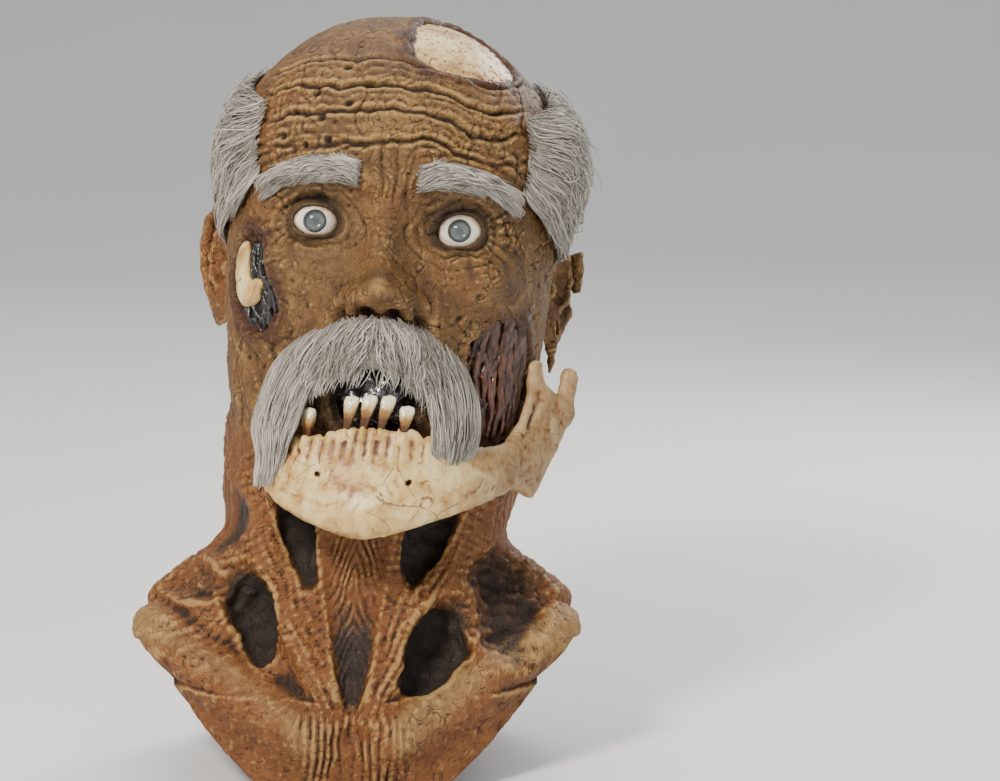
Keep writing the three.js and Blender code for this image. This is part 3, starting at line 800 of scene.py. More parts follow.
def sculptSkin():
    angle, p = skinGrid()
    x, y, z = np.moveaxis(p, -1, 0)
    front = stepUp(-y, 18, 48)
    normals = gridNormals(p)
    face = stepUp(z, 186, 206)
    neckHeight, dark = neckFolds(p, x, z, front)
    height = faceFolds(p, x, z, front) * face + neckHeight * (1 - face)
    # leathery ground everywhere: soft unevenness, then thin creases at three sizes
    bent = p + 5 * np.stack([roughness(p, 24, 30 + i, 2) for i in range(3)], -1)
    height += 1.1 * roughness(p, 16, 33, 2) + 0.55 * roughness(bent, 5.0, 34, 2)
    onFace = 0.12 + 0.88 * face
    height += onFace * (1.1 * cracks(bent, 23, 0.07, 35) + 0.85 * cracks(bent, 10.5, 0.11, 36))
    height += 0.55 * cracks(bent * [1, 1, 1.3], 4.4, 0.17, 37)
    # the collarbones stand out, thick and pitted, over a trough; the tendons' crests are bare
    bony = np.zeros_like(x)
    for side in (-1, 1):
        near = fromNeckLine(p, "collarBone", side)
        reach = stepUp(side * x, 12, 26) * (y < 30)
        height += reach * (3.2 * np.exp(-((near / 13) ** 4)) - 2.6 * hill(near - 20, 4.0) * (z > 60))
        bony += reach * np.exp(-((near / 14) ** 4))
        near = fromNeckLine(p, "tendon", side)
        bony += 0.7 * hill(near, 6) * front
    # fibres down the neck's sides and back
    cord = roughness(p * [1, 1, 0.2], 5.5, 38, 2)
    height += (1 - face) * (0.5 + 0.7 * (1 - front)) * 1.2 * cord
    height += (1 - face) * (1 - front) * 1.0 * cracks(bent * [1, 1, 0.7], 15, 0.08, 39)

    # warts and pits on the cheeks, worm holes on the forehead
    draw = np.random.default_rng(7)
    flat = p.reshape(-1, 3)
    ok = np.flatnonzero(((np.abs(x) > 34) & (z > 214) & (z < 312) & (y < -8)).ravel())
    warts, pits = skinDetail["warts"], skinDetail["pits"]
    places = flat[draw.choice(ok, warts)]
    size = draw.uniform(0.9, 2.3, warts)
    height += spots(p, places, size, np.where(draw.random(warts) < 0.5, 0.9, -1.3) * size * 0.7)
    ok = np.flatnonzero(((z > 330) & (z < 440) & (y < 0)).ravel())
    places = flat[draw.choice(ok, pits)]
    size = draw.uniform(0.8, 1.5, pits)
    height += spots(p, places, size, -1.1 * size)
    worms = skinDetail["worms"]
    wormPlaces = np.array([skinPoint(angleAt(np.array(float(a)), np.array(float(b))), b) for a, b in worms])
    wormSize = draw.uniform(1.7, 2.7, len(worms))
    holes = spots(p, wormPlaces, wormSize, np.ones(len(worms)))
    collars = spots(p, wormPlaces, wormSize * 1.7, np.full(len(worms), 0.9))
    height += collars - 5.2 * np.clip(holes, 0, 1)

    # the torn openings: thick lips that turn in under their edges
    d = skinDetail
    tearCheek = outlineRoom(p, *d["cheek"], 7.0, 50)
    tearBone = outlineRoom(p, *d["bone"], 4.5, 55)
    mouth = outlineRoom(p, 0.0, *d["mouth"], 2.0, 58)
    plate = plateRoom(angle, p)
    for room in (tearCheek, tearBone, mouth):
        height *= stepUp(room, 0, 5) * 0.6 + 0.4
        height += 1.6 * hill(room - 2.5, 2.4) - 4.5 * stepUp(room, 0.8, -1.6)
    height *= stepUp(plate, -1, 4) * 0.7 + 0.3
    height += 1.4 * hill(plate - 2.2, 1.8) - 3.6 * stepUp(plate, 0.6, -1.2)

    made = p + normals * height[..., None]
    # the lids: the skin comes round to a shell just over each eyeball, and turns in under the rim
    eyes = np.minimum(eyeRoom(p, -1), eyeRoom(p, 1))
    for side in (-1, 1):
        centre = eyeCentre[side]
        off = p - centre
        reach = np.hypot(off[..., 0], off[..., 2])
        room = eyeRoom(p, side)
        radius = form["eyeRadius"] + d["lid"] + 0.5 * np.clip(height, -2, 2) + 0.8 * hill(room - 1.6, 1.4)
        lidY = centre[1] - np.sqrt(np.maximum(radius**2 - reach**2, 1))
        weight = stepUp(reach, 19.5, 12.5) * (y < 0)
        made[..., 1] += weight * (np.minimum(lidY, made[..., 1] + 6) - made[..., 1])
        crease = hill(room - 5.5, 1.5) * stepUp(z, form["eyeZ"] - 2, form["eyeZ"] + 4) * (y < 0)
        made[..., 1] += 2.2 * crease
        made[..., 1] += 5.5 * stepUp(room, 0.3, -1.0) * (y < 0) * (reach < 20)
    # nostrils, pushed up into the nose
    for side in (-1, 1):
        near, _ = segmentDistance(p, [side * 9, -124, 266], [side * 7, -96, 280])
        made += (hill(near, 5.2) * front)[..., None] * np.array([0, 7.0, 4.5])

    drop = (eyes < -1.3) | (tearCheek < -2.0) | (tearBone < -2.0) | (mouth < -2.0) | (plate < -1.6)
    normals = gridNormals(made)
    # crevice, hollow and deep measure how far each point lies below its softened surroundings; the paint
    # uses them for painted shade in creases and hollows and a painted highlight on ridges
    crevice = ((softened(made, 3) - made) * normals).sum(-1)
    deep = ((softened(made[::2, ::2], 60) - made[::2, ::2]) * normals[::2, ::2]).sum(-1)
    deep = np.repeat(np.repeat(softened(deep, 2), 2, 0), 2, 1)[: made.shape[0], : made.shape[1]]
    hollow = ((softened(made, 26) - made) * normals).sum(-1)
    zones = {
        "crevice": crevice,
        "hollow": hollow,
        "deep": deep,
        # the distance to the torn edges and the skull's border, where shade is painted
        "edge": np.minimum.reduce([tearCheek, tearBone, np.abs(plate)]),
        # the eye sockets, where the paint puts shade
        "socket": sum(
            hill(np.hypot(x - s * form["eyeX"], (z - form["eyeZ"]) * 1.15) / 24, 1) for s in (-1, 1)
        ) * front,
        "neck": 1 - stepUp(z, 176, 214),
        # the worm holes, where shade is painted
        "wet": np.clip(holes, 0, 1),
        # painted shade in the neck hollows and the throat's panel
        "dark": dark * (1 - face),
        "bony": np.clip(bony, 0, 1) * (1 - face),
        # nearness to the mouth and eye openings, where the paint puts shade
        "under": np.maximum(
            hill(np.minimum(np.abs(mouth), 30), 9), hill(np.minimum(np.abs(eyes - 0.2), 9), 2.3)
        ),
    }
    return z, made, drop, zones


def buildSkin(finish):
    z, p, drop, zones = sculptSkin()
    rows, columns = z.shape
    faces = gridFaces(rows, columns)
    faces = faces[drop.ravel()[faces].sum(1) < 3]
    # the back is one sheet above the slit
    upper = np.flatnonzero(z[:-1, 0] > skinDetail["slitTop"])
    start, end = upper * columns, upper * columns + columns - 1
    bridge = np.stack([end, start, start + columns, end + columns], -1)
    faces = np.vstack([faces, bridge])
    points = p.reshape(-1, 3)
    values = {k: v.ravel() for k, v in zones.items()}
    # the crown is closed with a small fan
    top = len(points)
    points = np.vstack([points, points[:columns].mean(0)])
    values = {k: np.append(v, v[:columns].mean()) for k, v in values.items()}
    ring = np.arange(columns)
    after = np.roll(ring, -1)
    fan = np.column_stack([np.full(columns // 2, top), after[1::2], after[::2], ring[::2]])
    faces = np.vstack([faces, fan])
    used = np.unique(faces)
    remap = np.full(len(points), -1)
    remap[used] = np.arange(len(used))
    points, faces = points[used], remap[faces]
    values = {k: v[used] for k, v in values.items()}
    faces = outwardFaces(points, faces)
    piece = meshPiece("latexSkin", inFrame(points), faces, values)
    walled(piece, form["wall"])
    return finished(piece, finish, "latex", "mask_skin")


def latexFinish():
    f = Finish("paintedLatex", Specular_IOR_Level=0.38)
    crevice, hollow, deep = f.reading("crevice"), f.reading("hollow"), f.reading("deep")
    neck, socket = f.reading("neck"), f.reading("socket")
    edge, wet, under = f.reading("edge"), f.reading("wet"), f.reading("under")
    neckHollowShade = f.reading("dark")
    broad = f.cloud(70, 3, 0.6, warp=0.6)
    patches = f.cloud(24, 5, 0.62, warp=1.0)
    speckle = f.cloud(3.2, 5, 0.7)
    base = f.ramp(
        patches, (0.28, (0.045, 0.020, 0.006)), (0.5, (0.135, 0.066, 0.018)), (0.72, (0.265, 0.148, 0.044))
    )
    rustAmount = (broad + 0.42 * neck - 0.05).between(0.42, 0.80) * (0.30 + 0.55 * patches)
    base = f.colours(rustAmount, base, (0.205, 0.054, 0.007))
    bony = f.reading("bony")
    tan = f.ramp(speckle, (0.3, (0.170, 0.090, 0.028)), (0.7, (0.400, 0.250, 0.090)))
    base = f.colours((bony + (patches - 0.5) * 0.9).between(0.25, 1.0) * 0.8, base, tan)
    # painted highlight: the skin's raised ridges, where the crevice reading is below zero, are lightened to
    # a pale tan
    ridgeHighlight = (crevice * -1.0).between(0.05, 0.50)
    base = f.colours(ridgeHighlight * (0.15 + 0.8 * speckle), base, (0.52, 0.325, 0.110))
    # painted shade: the eye sockets are darkened to an olive brown
    socketShade = socket.between(0.22, 0.90) * 0.70
    base = f.colours(socketShade, base, (0.070, 0.046, 0.022))
    # painted shade: broad darkening in the deep hollows, such as the eye sockets and under the brows,
    # broken up by the patches
    deepShade = (deep * 0.16 + (patches - 0.5) * 1.0).between(0.05, 0.80)
    base = f.colours(deepShade * 0.88, base, (0.028, 0.012, 0.005))
    # painted shade: the skin's hollows are darkened towards near-black
    dark = (hollow * 0.34 + (speckle - 0.5) * 0.5).between(0.12, 1.05)
    base = f.colours(dark * 0.88, base, (0.020, 0.010, 0.006))
    # painted shade: the creases are darkened to near-black lines
    line = (crevice + (speckle - 0.5) * 0.25).between(0.04, 0.50)
    base = f.colours(line * 0.85, base, (0.018, 0.009, 0.005))
    # painted shade: the neck hollows and the throat's panel are painted near-black
    hollowShadeColour = f.ramp(speckle, (0.3, (0.007, 0.005, 0.004)), (0.8, (0.042, 0.028, 0.019)))
    base = f.colours(
        (neckHollowShade * 1.3 + (speckle - 0.5) * 0.9 + (patches - 0.5) * 0.7).between(0.12, 1.05) * 0.96,
        base,
        hollowShadeColour,
    )
    # painted shade: a dark rim round the mouth and eye openings
    base = f.colours(under * 0.7, base, (0.016, 0.008, 0.006))
    # painted shade: the skin round the torn openings and the bare skull darkens to a reddish near-black
    torn = (edge + (patches - 0.5) * 12).between(9.0, 0.5)
    base = f.colours(torn * 0.88, base, (0.045, 0.012, 0.005))
    # painted shade: the sunk worm holes are painted near-black
    base = f.colours(wet * 0.97, base, (0.006, 0.004, 0.003))
    bent = f.warped(11, 22)
    fine = f.cells(12, where=bent).between(0.050, 0.0) * patches.between(0.47, 0.62)
    small = f.cells(4.2, where=bent).between(0.10, 0.0) * speckle.between(0.40, 0.62)
    base = f.colours(fine * 0.70, base, (0.022, 0.011, 0.005))
    base = f.colours(small * 0.36, base, (0.030, 0.015, 0.007))
    freckle = f.cells(2.4, "F1").between(0.32, 0.12) * patches.between(0.45, 0.65)
    base = f.colours(freckle * 0.6, base, (0.040, 0.020, 0.010))
    grain = f.cells(2.1).between(0.0, 0.18)
    f.bumps(
        (f.cloud(5.5, 6, 0.65, warp=0.8), 1.3),
        (-1 * fine, 0.45),
        (-1 * small, 0.2),
        (grain, 0.16),
        (f.cloud(0.9, 4, 0.6), 0.16),
    )
    rough = 0.56 - 0.14 * ridgeHighlight + 0.18 * line + 0.12 * dark
    return f.paint(Base_Color=base, Roughness=rough)


skinMaterial = latexFinish()
buildSkin(skinMaterial)
print("skin done")

# curves and blocks that the CAD's pieces are mapped through


def throughPoints(places, u):
    pts = withEnds(places)
    u = np.clip(np.asarray(u, float), 0, 1) * (len(places) - 1)
    i = np.minimum(u.astype(int), len(places) - 2)
    t = (u - i)[..., None]
    p0, p1, p2, p3 = (pts[i + k] for k in range(4))
    d0, d1, d2 = (
        np.linalg.norm(b - a, axis=-1, keepdims=True) ** 0.5 for a, b in ((p0, p1), (p1, p2), (p2, p3))
    )
    slope, square, cube = splineTerms(p0, p1, p2, p3, d0, d1, d2)
    return p1 + slope * t + square * t**2 + cube * t**3


def alongCurve(places, u):
    step = throughPoints(places, np.clip(u, 0, 0.999) + 0.001) - throughPoints(places, np.clip(u, 0, 0.999))
    return step / np.linalg.norm(step, axis=-1, keepdims=True)


def roundedBlock(divisions, soft):  # a block's closed skin, its corners in 0..1, edges eased
    n = np.array(divisions)
    index = -np.ones(n + 1, np.int64)
    edge = np.zeros(n + 1, bool)
    for axis in range(3):
        edge[tuple(slice(None) if a != axis else [0, -1] for a in range(3))] = True
    cells = np.argwhere(edge)
    index[tuple(cells.T)] = np.arange(len(cells))
    faces = []
    for axis in range(3):
        for end in (0, -1):
            sheet = np.take(index, end, axis=axis)
            quad = np.stack(
                [sheet[:-1, :-1], sheet[1:, :-1], sheet[1:, 1:], sheet[:-1, 1:]], -1
            ).reshape(-1, 4)
            faces.append(quad if (end == -1) != (axis == 1) else quad[:, ::-1])
    c = cells / n * 2 - 1
    s = c**2
    bent = np.stack([
        c[:, 0] * np.sqrt(1 - soft[0] * (s[:, 1] + s[:, 2]) / 2),
        c[:, 1] * np.sqrt(1 - soft[1] * (s[:, 0] + s[:, 2]) / 2),
        c[:, 2] * np.sqrt(1 - soft[2] * (s[:, 0] + s[:, 1]) / 2),
    ], -1)
    return (bent + 1) / 2, np.vstack(faces)


def lathed(profile, columns, centre):  # turned about a line that points out of the face
    profile = np.array(profile, float)
    turn = np.linspace(0, 2 * math.pi, columns, endpoint=False)
    r, depth = profile[:, :1], profile[:, 1:]
    p = stacked(r * np.cos(turn), -depth + 0 * turn, r * np.sin(turn)) + centre
    faces = gridFaces(len(profile), columns, closed=True)
    return p.reshape(-1, 3), faces


def joinedShells(*shells):
    points, faces, base = [], [], 0
    for p, f in shells:
        points.append(p)
        faces.append(f + base)
        base += len(p)
    return np.vstack(points), np.vstack(faces)


# eyes

eye = {
    "iris": 6.6,
    "sawnBack": 5,
    "bulge": 15.5,
    "glue": 0.4,
    "wellFloor": 9.7,
    "wellRim": 12.9,
    "irisBack": 9.95,
    "irisFace": 10.2,
    "capBack": 11.0,
    "capRim": 13.2,
    "capEdge": 13.5,
}


def scleraFinish():
    f = Finish("stainedSclera", Roughness=0.10, Coat_Weight=0.6, Coat_Roughness=0.04)
    rim, ring = f.reading("rim"), f.reading("ring")
    veins = f.cells(4.2)
    base = f.ramp(f.cloud(9, 3, 0.5), (0.3, (0.74, 0.68, 0.54)), (0.7, (0.86, 0.82, 0.70)))
    thread = veins.between(0.05, 0.0) * rim.between(-7.5, -1.0)
    base = f.colours(thread * 0.7, base, (0.42, 0.10, 0.06))
    haze = ring.between(9.5, 6.8)
    base = f.colours(haze * 0.45, base, (0.40, 0.42, 0.39))
    stain = (rim + (f.cloud(2.6, 4, 0.6) - 0.5) * 4.0).between(-2.6, 0.4)
    base = f.colours(stain * 0.9, base, (0.36, 0.15, 0.045))
    return f.paint(Base_Color=base)


def irisFinish():
    f = Finish("cloudedIris", Roughness=0.25)
    ring, spoke = f.reading("ring"), f.reading("spoke")
    base = f.ramp(
        ring * 0.15 + (spoke - 0.5) * 0.10,
        (0.06, (0.030, 0.036, 0.038)),
        (0.30, (0.085, 0.110, 0.115)),
        (0.66, (0.20, 0.245, 0.240)),
        (0.90, (0.055, 0.062, 0.060)),
    )
    return f.paint(Base_Color=base)


def corneaFinish():
    f = Finish("clearCap", Base_Color=(0.16, 0.18, 0.18, 1), Roughness=0.03)
    f.shader.inputs["Coat Weight"].default_value = 1.0
    clear = f.add("ShaderNodeBsdfTransparent", {}, {})
    sheen = f.add("ShaderNodeLayerWeight", {}, {"Blend": 0.35}, "Fresnel")
    mix = f.add(
        "ShaderNodeMixShader", {}, {0: 0.22 + 0.60 * sheen, 1: clear, 2: Wire(f, f.shader.outputs[0])}
    )
    f.tree.links.new(mix.socket, f.tree.nodes["Material Output"].inputs["Surface"])
    return f.material


def puttyFinish():
    f = Finish("eyePutty", Roughness=0.85)
    base = f.ramp(f.cloud(4, 5, 0.6), (0.3, (0.085, 0.072, 0.052)), (0.7, (0.19, 0.165, 0.125)))
    f.bumps((f.cloud(1.6, 5, 0.65), 0.5))
    return f.paint(Base_Color=base)


def buildEyes():
    white, iris, clear, putty = scleraFinish(), irisFinish(), corneaFinish(), puttyFinish()
    radius = form["eyeRadius"]
    for name, side in (("right", -1), ("left", 1)):
        centre = eyeCentre[side]
        bore = eye["iris"] + eye["glue"]
        start, stop = math.asin(bore / radius), math.acos(-eye["sawnBack"] / radius)
        turns = np.linspace(start, stop, 56)
        floor = eye["wellFloor"]
        profile = [(0.01, floor), (bore - 0.3, floor), (bore, 10.0), (bore, eye["wellRim"])]
        profile += [(radius * math.sin(t), radius * math.cos(t)) for t in turns]
        profile += [(0.01, -eye["sawnBack"])]
        p, faces = lathed(profile, 96, centre)
        off = p - centre
        values = {"rim": eyeRoom(p, side), "ring": np.hypot(off[:, 0], off[:, 2])}
        faces = outwardFaces(p - centre, faces)
        ball = meshPiece(f"eyeWhite_{name}", inFrame(p), faces, values)
        finished(ball, white, "sclera", f"eye_{name}_white")

        r = np.linspace(0.01, eye["iris"], 26)
        profile = [(a, eye["irisFace"] + 0.4 * (a / eye["iris"]) ** 2) for a in r]
        profile += [(eye["iris"], eye["irisBack"]), (0.01, eye["irisBack"])]
        p, faces = lathed(profile, 128, centre)
        off = p - centre
        turn = np.arctan2(off[:, 2], off[:, 0])
        spoke = 0.5 + 0.5 * roughness(stacked(np.cos(turn) * 9, np.sin(turn) * 9, 0), 1.0, 80, 2)
        values = {"ring": np.hypot(off[:, 0], off[:, 2]), "spoke": spoke}
        faces = outwardFaces(off, faces)
        finished(meshPiece(f"iris_{name}", inFrame(p), faces, values), iris, "iris", f"eye_{name}_iris")

        r = np.linspace(eye["iris"] - 0.1, 0.01, 22)
        profile = [
            (0.01, eye["capBack"]),
            (eye["iris"] - 0.2, eye["capBack"]),
            (eye["iris"], 11.3),
            (eye["iris"], eye["capRim"]),
        ]
        profile += [(a, eye["bulge"] - (eye["bulge"] - eye["capEdge"]) * (a / eye["iris"]) ** 2) for a in r]
        p, faces = lathed(profile, 96, centre)
        faces = outwardFaces(p - centre - [0, -13, 0], faces)
        finished(meshPiece(f"cornea_{name}", inFrame(p), faces), clear, "cornea", f"eye_{name}_cornea")

        back = eye["sawnBack"] + eye["glue"]
        profile = [
            (8.2, -back),
            (16.6, -back),
            (17, -back - 1),
            (16.6, -back - 3.2),
            (12, -back - 3.6),
            (8.4, -back - 3),
        ]
        profile = throughPoints([(a, b, 0) for a, b in profile + profile[:1]], np.linspace(0, 1, 60))[:, :2]
        p, faces = lathed(profile, 90, centre)
        p = p + 0.35 * roughness(p, 3.0, 82, 2)[:, None] * [0, 1, 0]
        faces = outwardFaces(p - centre, faces)
        finished(meshPiece(f"eyeFiller_{name}", inFrame(p), faces), putty, "putty", f"eye_{name}_backing")


buildEyes()
print("eyes done")

# the jaw and its teeth

jaw = {
    "line": [
        [-62, -68, 182],
        [-46, -86, 172],
        [-22, -99, 166],
        [2, -102, 164],
        [28, -100, 166],
        [54, -88, 171],
        [78, -62, 178],
        [92, -36, 188],
    ],
    "teeth": [0.2, 0.33, 0.388, 0.446, 0.52],
    "leans": [-0.06, 0.10, 0.16, 0.20, 0.10],
    "emptySockets": [0.14, 0.262, 0.585],
    "plateTurn": 42,
    "voxel": 0.85,
    "toothGrid": (44, 36),
}


def jawHeight(u):
    return 23 + 24 * np.exp(-(((u - 0.42) / 0.26) ** 2))


def jawOutward(u):
    along = alongCurve(jaw["line"], u)
    out = stacked(along[..., 1], -along[..., 0], 0 * along[..., 0])
    return out / np.linalg.norm(out, axis=-1, keepdims=True)


def jawTop(u):
    return throughPoints(jaw["line"], u) + [0, 0, 1] * jawHeight(np.asarray(u))[..., None]


def plank(p, a, b, broad, thick):
    turn = math.radians(jaw["plateTurn"])
    a, b = np.array(a, float), np.array(b, float)
    t = ((p - a) @ (b - a)) / ((b - a) @ (b - a))
    off = p - (a + np.clip(t, 0, 1)[..., None] * (b - a))
    wide = off @ np.array([math.cos(turn), math.sin(turn), 0])
    deep = off @ np.array([math.sin(turn), -math.cos(turn), 0])
    past = np.abs(t - np.clip(t, 0, 1)) * np.linalg.norm(b - a)
    return (np.sqrt((wide / broad) ** 2 + (deep / thick) ** 2 + (past / thick) ** 2) - 1) * thick


def jawField(p):
    flat = p[:, :, :1, :2]
    us = np.linspace(0, 1, 161)
    line = throughPoints(jaw["line"], us)
    away = ((flat[:, :, 0, None, :] - line[:, :2]) ** 2).sum(-1)
    nearest = away.argmin(-1)
    u = us[nearest][:, :, None]
    foot = line[nearest][:, :, None]
    out = jawOutward(us)[nearest][:, :, None]
    aside = ((flat - foot[..., :2]) * out[..., :2]).sum(-1)
    reach = np.sqrt(away.min(-1))[:, :, None]
    past = np.sqrt(np.maximum(reach**2 - aside**2, 0))
    height = np.where(u > 0.5, 1, 0.9) * jawHeight(u)
    z = p[..., 2]
    half = 0.62 * height
    middle = foot[..., 2] - 0.35 * half + half
    v = np.clip((z - middle) / half * 0.5 + 0.5, 0, 1)
    thick = (5.2 + 3.2 * (1 - v)) * np.sin(math.pi * (0.16 + 0.68 * v))
    thick = thick + 1.3 * np.exp(-(((v - 0.12) / 0.1) ** 2))
    ease = 3.4
    sideways, upwards = np.hypot(aside, past) - thick, np.abs(z - middle) - half
    body = np.hypot(np.maximum(sideways + ease, 0), np.maximum(upwards + ease, 0)) - ease
    body = body + np.minimum(np.maximum(sideways, upwards) + ease, 0)

    roots = None
    for place in np.arange(0.10, 0.66, 0.036):
        top, outward = jawTop(place), jawOutward(place)
        root = capsule(p, top + outward * 2.6 + [0, 0, -5.5], top + outward * 4.6 + [0, 0, -19], 2.0, 1.1)
        roots = root if roots is None else np.minimum(roots, root)
    body = joined(body, roots, 3.0)
    chin = lump(p, [4, -106, 164], [15, 7, 9])
    body = joined(body, chin, 7)
    body = joined(body, plank(p, [91, -40, 180], [108, -23, 231], 16, 4.4), 8)
    body = joined(body, plank(p, [114, -17, 226], [117, -12, 247], 6.0, 5.4), 6)
    body = joined(body, plank(p, [99, -29, 224], [95, -33, 252], 5.0, 3.0), 7)
    rim = [(78, -53, 194), (88, -46, 212), (94, -38, 232), (94, -35, 252)]
    body = joined(body, chain(p, rim, [3.0, 2.6, 2.4, 2.0], 1.5), 2.5)
    for place in jaw["emptySockets"]:
        top = jawTop(place)
        body = cutBy(body, capsule(p, top + [0, 0, -6], top + [0, 0, 4], 2.3, 2.9), 1.2)
    for place in jaw["teeth"]:
        top = jawTop(place)
        body = cutBy(body, capsule(p, top + [0, 0, -4], top + [0, 0, 8], 3.0, 4.3), 0.8)
        outward = jawOutward(place)
        lip = capsule(p, top + outward * 4.6 + [0, 0, -8], top + outward * 4.4 + [0, 0, -4.5], 1.9, 1.5)
        body = joined(body, lip, 2.0)
    for place, lift in ((0.27, 0.40), (0.555, 0.36)):
        spot = throughPoints(jaw["line"], place) + jawOutward(place) * 8 + [0, 0, lift * jawHeight(place)]
        body = cutBy(body, lump(p, spot, [1.9, 6, 1.7]), 1.4)
    return body


def boneFinish():
    f = Finish("stainedBone", Coat_Roughness=0.25)
    crevice, tan = f.reading("crevice"), f.reading("tan")
    patches, speckle = f.cloud(17, 5, 0.62, warp=0.7), f.cloud(2.2, 5, 0.7)
    base = f.ramp(
        patches, (0.30, (0.34, 0.165, 0.034)), (0.50, (0.60, 0.400, 0.140)), (0.72, (0.80, 0.660, 0.340))
    )
    base = f.colours(
        tan * 0.9, base, f.ramp(patches, (0.3, (0.13, 0.070, 0.028)), (0.7, (0.36, 0.22, 0.095)))
    )
    stain = (crevice * 1.6 + (speckle - 0.5) * 0.9 + (patches - 0.5) * -1.3).between(-0.12, 0.60)
    base = f.colours(stain * 0.85, base, (0.225, 0.078, 0.012))
    deep = (crevice + (speckle - 0.5) * 0.3).between(0.14, 0.60)
    base = f.colours(deep * 0.92, base, (0.045, 0.018, 0.008))
    pits = f.cells(1.9, "F1").between(0.20, 0.06) * f.cloud(9, 2, 0.5).between(0.42, 0.6)
    base = f.colours(pits * 0.75, base, (0.10, 0.045, 0.016))
    crack = f.cells(26).between(0.012, 0.0) * f.cloud(30, 1, 0.5).between(0.48, 0.56)
    base = f.colours(crack * 0.8, base, (0.06, 0.028, 0.012))
    f.bumps((speckle, 0.35), (pits * -1.0, 0.5), (f.cloud(0.8, 3, 0.6), 0.08))
    rough = 0.36 + 0.3 * deep + 0.2 * tan
    return f.paint(Base_Color=base, Roughness=rough, Coat_Weight=0.15 - 0.1 * tan)


def enamelFinish():
    f = Finish("stainedEnamel", Coat_Roughness=0.08)
    tall = f.reading("tall")
    streaks = f.cloud(1.4, 3, 0.6, where=f.stretched((1, 1, 0.12)))
    base = f.ramp(
        tall + (f.cloud(4, 3, 0.6) - 0.5) * 0.35,
        (0.32, (0.075, 0.028, 0.008)),
        (0.52, (0.30, 0.150, 0.042)),
        (0.70, (0.66, 0.52, 0.28)),
        (0.92, (0.84, 0.76, 0.56)),
    )
    base = f.colours(streaks.between(0.55, 0.75) * 0.45, base, (0.36, 0.20, 0.07))
    f.bumps((streaks, 0.12), (f.cloud(0.9, 3, 0.6), 0.06))
    rough = 0.30 - 0.16 * tall
    return f.paint(Base_Color=base, Roughness=rough, Coat_Weight=0.4 * tall)


def buildJaw():
    bone, enamel = boneFinish(), enamelFinish()
    p, faces = sculpted((-64, -118, 150), (130, 4, 258), jaw["voxel"], jawField)
    n = pointNormals(p, faces)
    grain = (
        0.55 * roughness(p, 11, 90, 2) + 0.30 * roughness(p, 3.6, 92, 2)
        + 0.35 * cracks(p, 13, 0.06, 94)
    )
    p = p + n * grain[:, None]
    rough = stepUp(p[:, 0], 48, 84)
    p = p + n * (rough * 0.55 * roughness(p, 4.5, 96, 2))[:, None]
    values = {"crevice": hollowness(p, faces, 12) * 1.3, "tan": rough * 0.9}
    finished(meshPiece("jawBone", inFrame(p), faces, values), bone, "bone", "jawbone")

    rows, columns = jaw["toothGrid"]
    for i, (place, lean) in enumerate(zip(jaw["teeth"], jaw["leans"])):
        draw = np.random.default_rng(20 + i)
        turns = np.linspace(0, 2 * math.pi, columns, endpoint=False)
        tall, turn = np.meshgrid(np.linspace(0, 1, rows), turns, indexing="ij")
        z = -8.5 + (21.5 - 3 * (i in (0, 4))) * tall
        width = np.interp(tall, [0, 0.08, 0.40, 0.60, 0.82, 0.95, 1], [0.4, 2.2, 3.1, 3.9, 4.5, 3.9, 0.05])
        depth = np.interp(tall, [0, 0.08, 0.40, 0.62, 0.82, 0.95, 1], [0.4, 2.1, 2.9, 3.4, 2.8, 1.8, 0.03])
        c, s = np.cos(turn), np.sin(turn)
        square = (np.abs(c) ** 3 + np.abs(s) ** 3) ** (-1 / 3)
        outward = jawOutward(place)
        along = np.array([-outward[1], outward[0], 0])
        x, y = c * square * width, s * square * depth
        y = y + 1.92 * (1 - tall) * tall
        x = x + lean * (z + 8) + draw.uniform(-0.3, 0.3)
        top = jawTop(place) + [0, 0, 3.0 + draw.uniform(-0.6, 0.4)]
        q = top + x[..., None] * along + y[..., None] * outward + z[..., None] * np.array([0, 0, 1])
        q = q.reshape(-1, 3)
        faces = outwardFaces(q - top, gridFaces(rows, columns, closed=True))
        q = swollen(q, faces, 0.28 * roughness(q * [1, 1, 0.4], 2.6, 100 + i, 2))
        piece = meshPiece(f"tooth_{i + 1}_crown", inFrame(q), faces, {"tall": tall.ravel()})
        finished(piece, enamel, "enamel", f"tooth_{i + 1}")
    return bone


boneMaterial = buildJaw()
print("jaw and teeth done")

# bare skull, cheekbone, flesh and sinew


tears = {"fleshVoxel": 0.75, "sinewVoxel": 0.7, "boneVoxel": 0.55, "plateWall": 2.6, "plateLift": 1.1}


def wetFinish(name, dark, mid, light, gloss):
    f = Finish(name, Coat_Roughness=0.10)
    crevice = f.reading("crevice")
    fibres = f.cloud(2.2, 5, 0.65, where=f.stretched((1, 1, 0.22)))
    base = f.ramp(fibres, (0.32, dark), (0.55, mid), (0.78, light))
    # painted shade: the crevices between the fibres are darkened to a quarter of the dark colour
    base = f.colours(crevice.between(0.02, 0.5) * 0.92, base, tuple(0.25 * c for c in dark))
    # painted highlight: the raised strands are lightened towards the light colour
    base = f.colours((crevice * -1.0).between(0.15, 0.7) * 0.45, base, light)
    f.bumps((fibres, 0.55), (f.cloud(0.9, 3, 0.6), 0.12))
    return f.paint(
        Base_Color=base, Roughness=0.46 - 0.26 * fibres, Coat_Weight=gloss * fibres.between(0.35, 0.6)
    )


def onSkin(q, angle, z):  # across, up and out of the skin, to a place on the mask
    width = 0.5 * (sectionAt(np.array(float(z)))[0] + sectionAt(np.array(float(z)))[1])
    return skinPoint(angle + q[..., 0] / width, z + q[..., 1], -q[..., 2])


def strandField(q, strands, soft):
    total = None
    for places, radii in strands:
        one = chain(q, places, radii, 0.5)
        total = one if total is None else joined(total, one, soft)
    return total


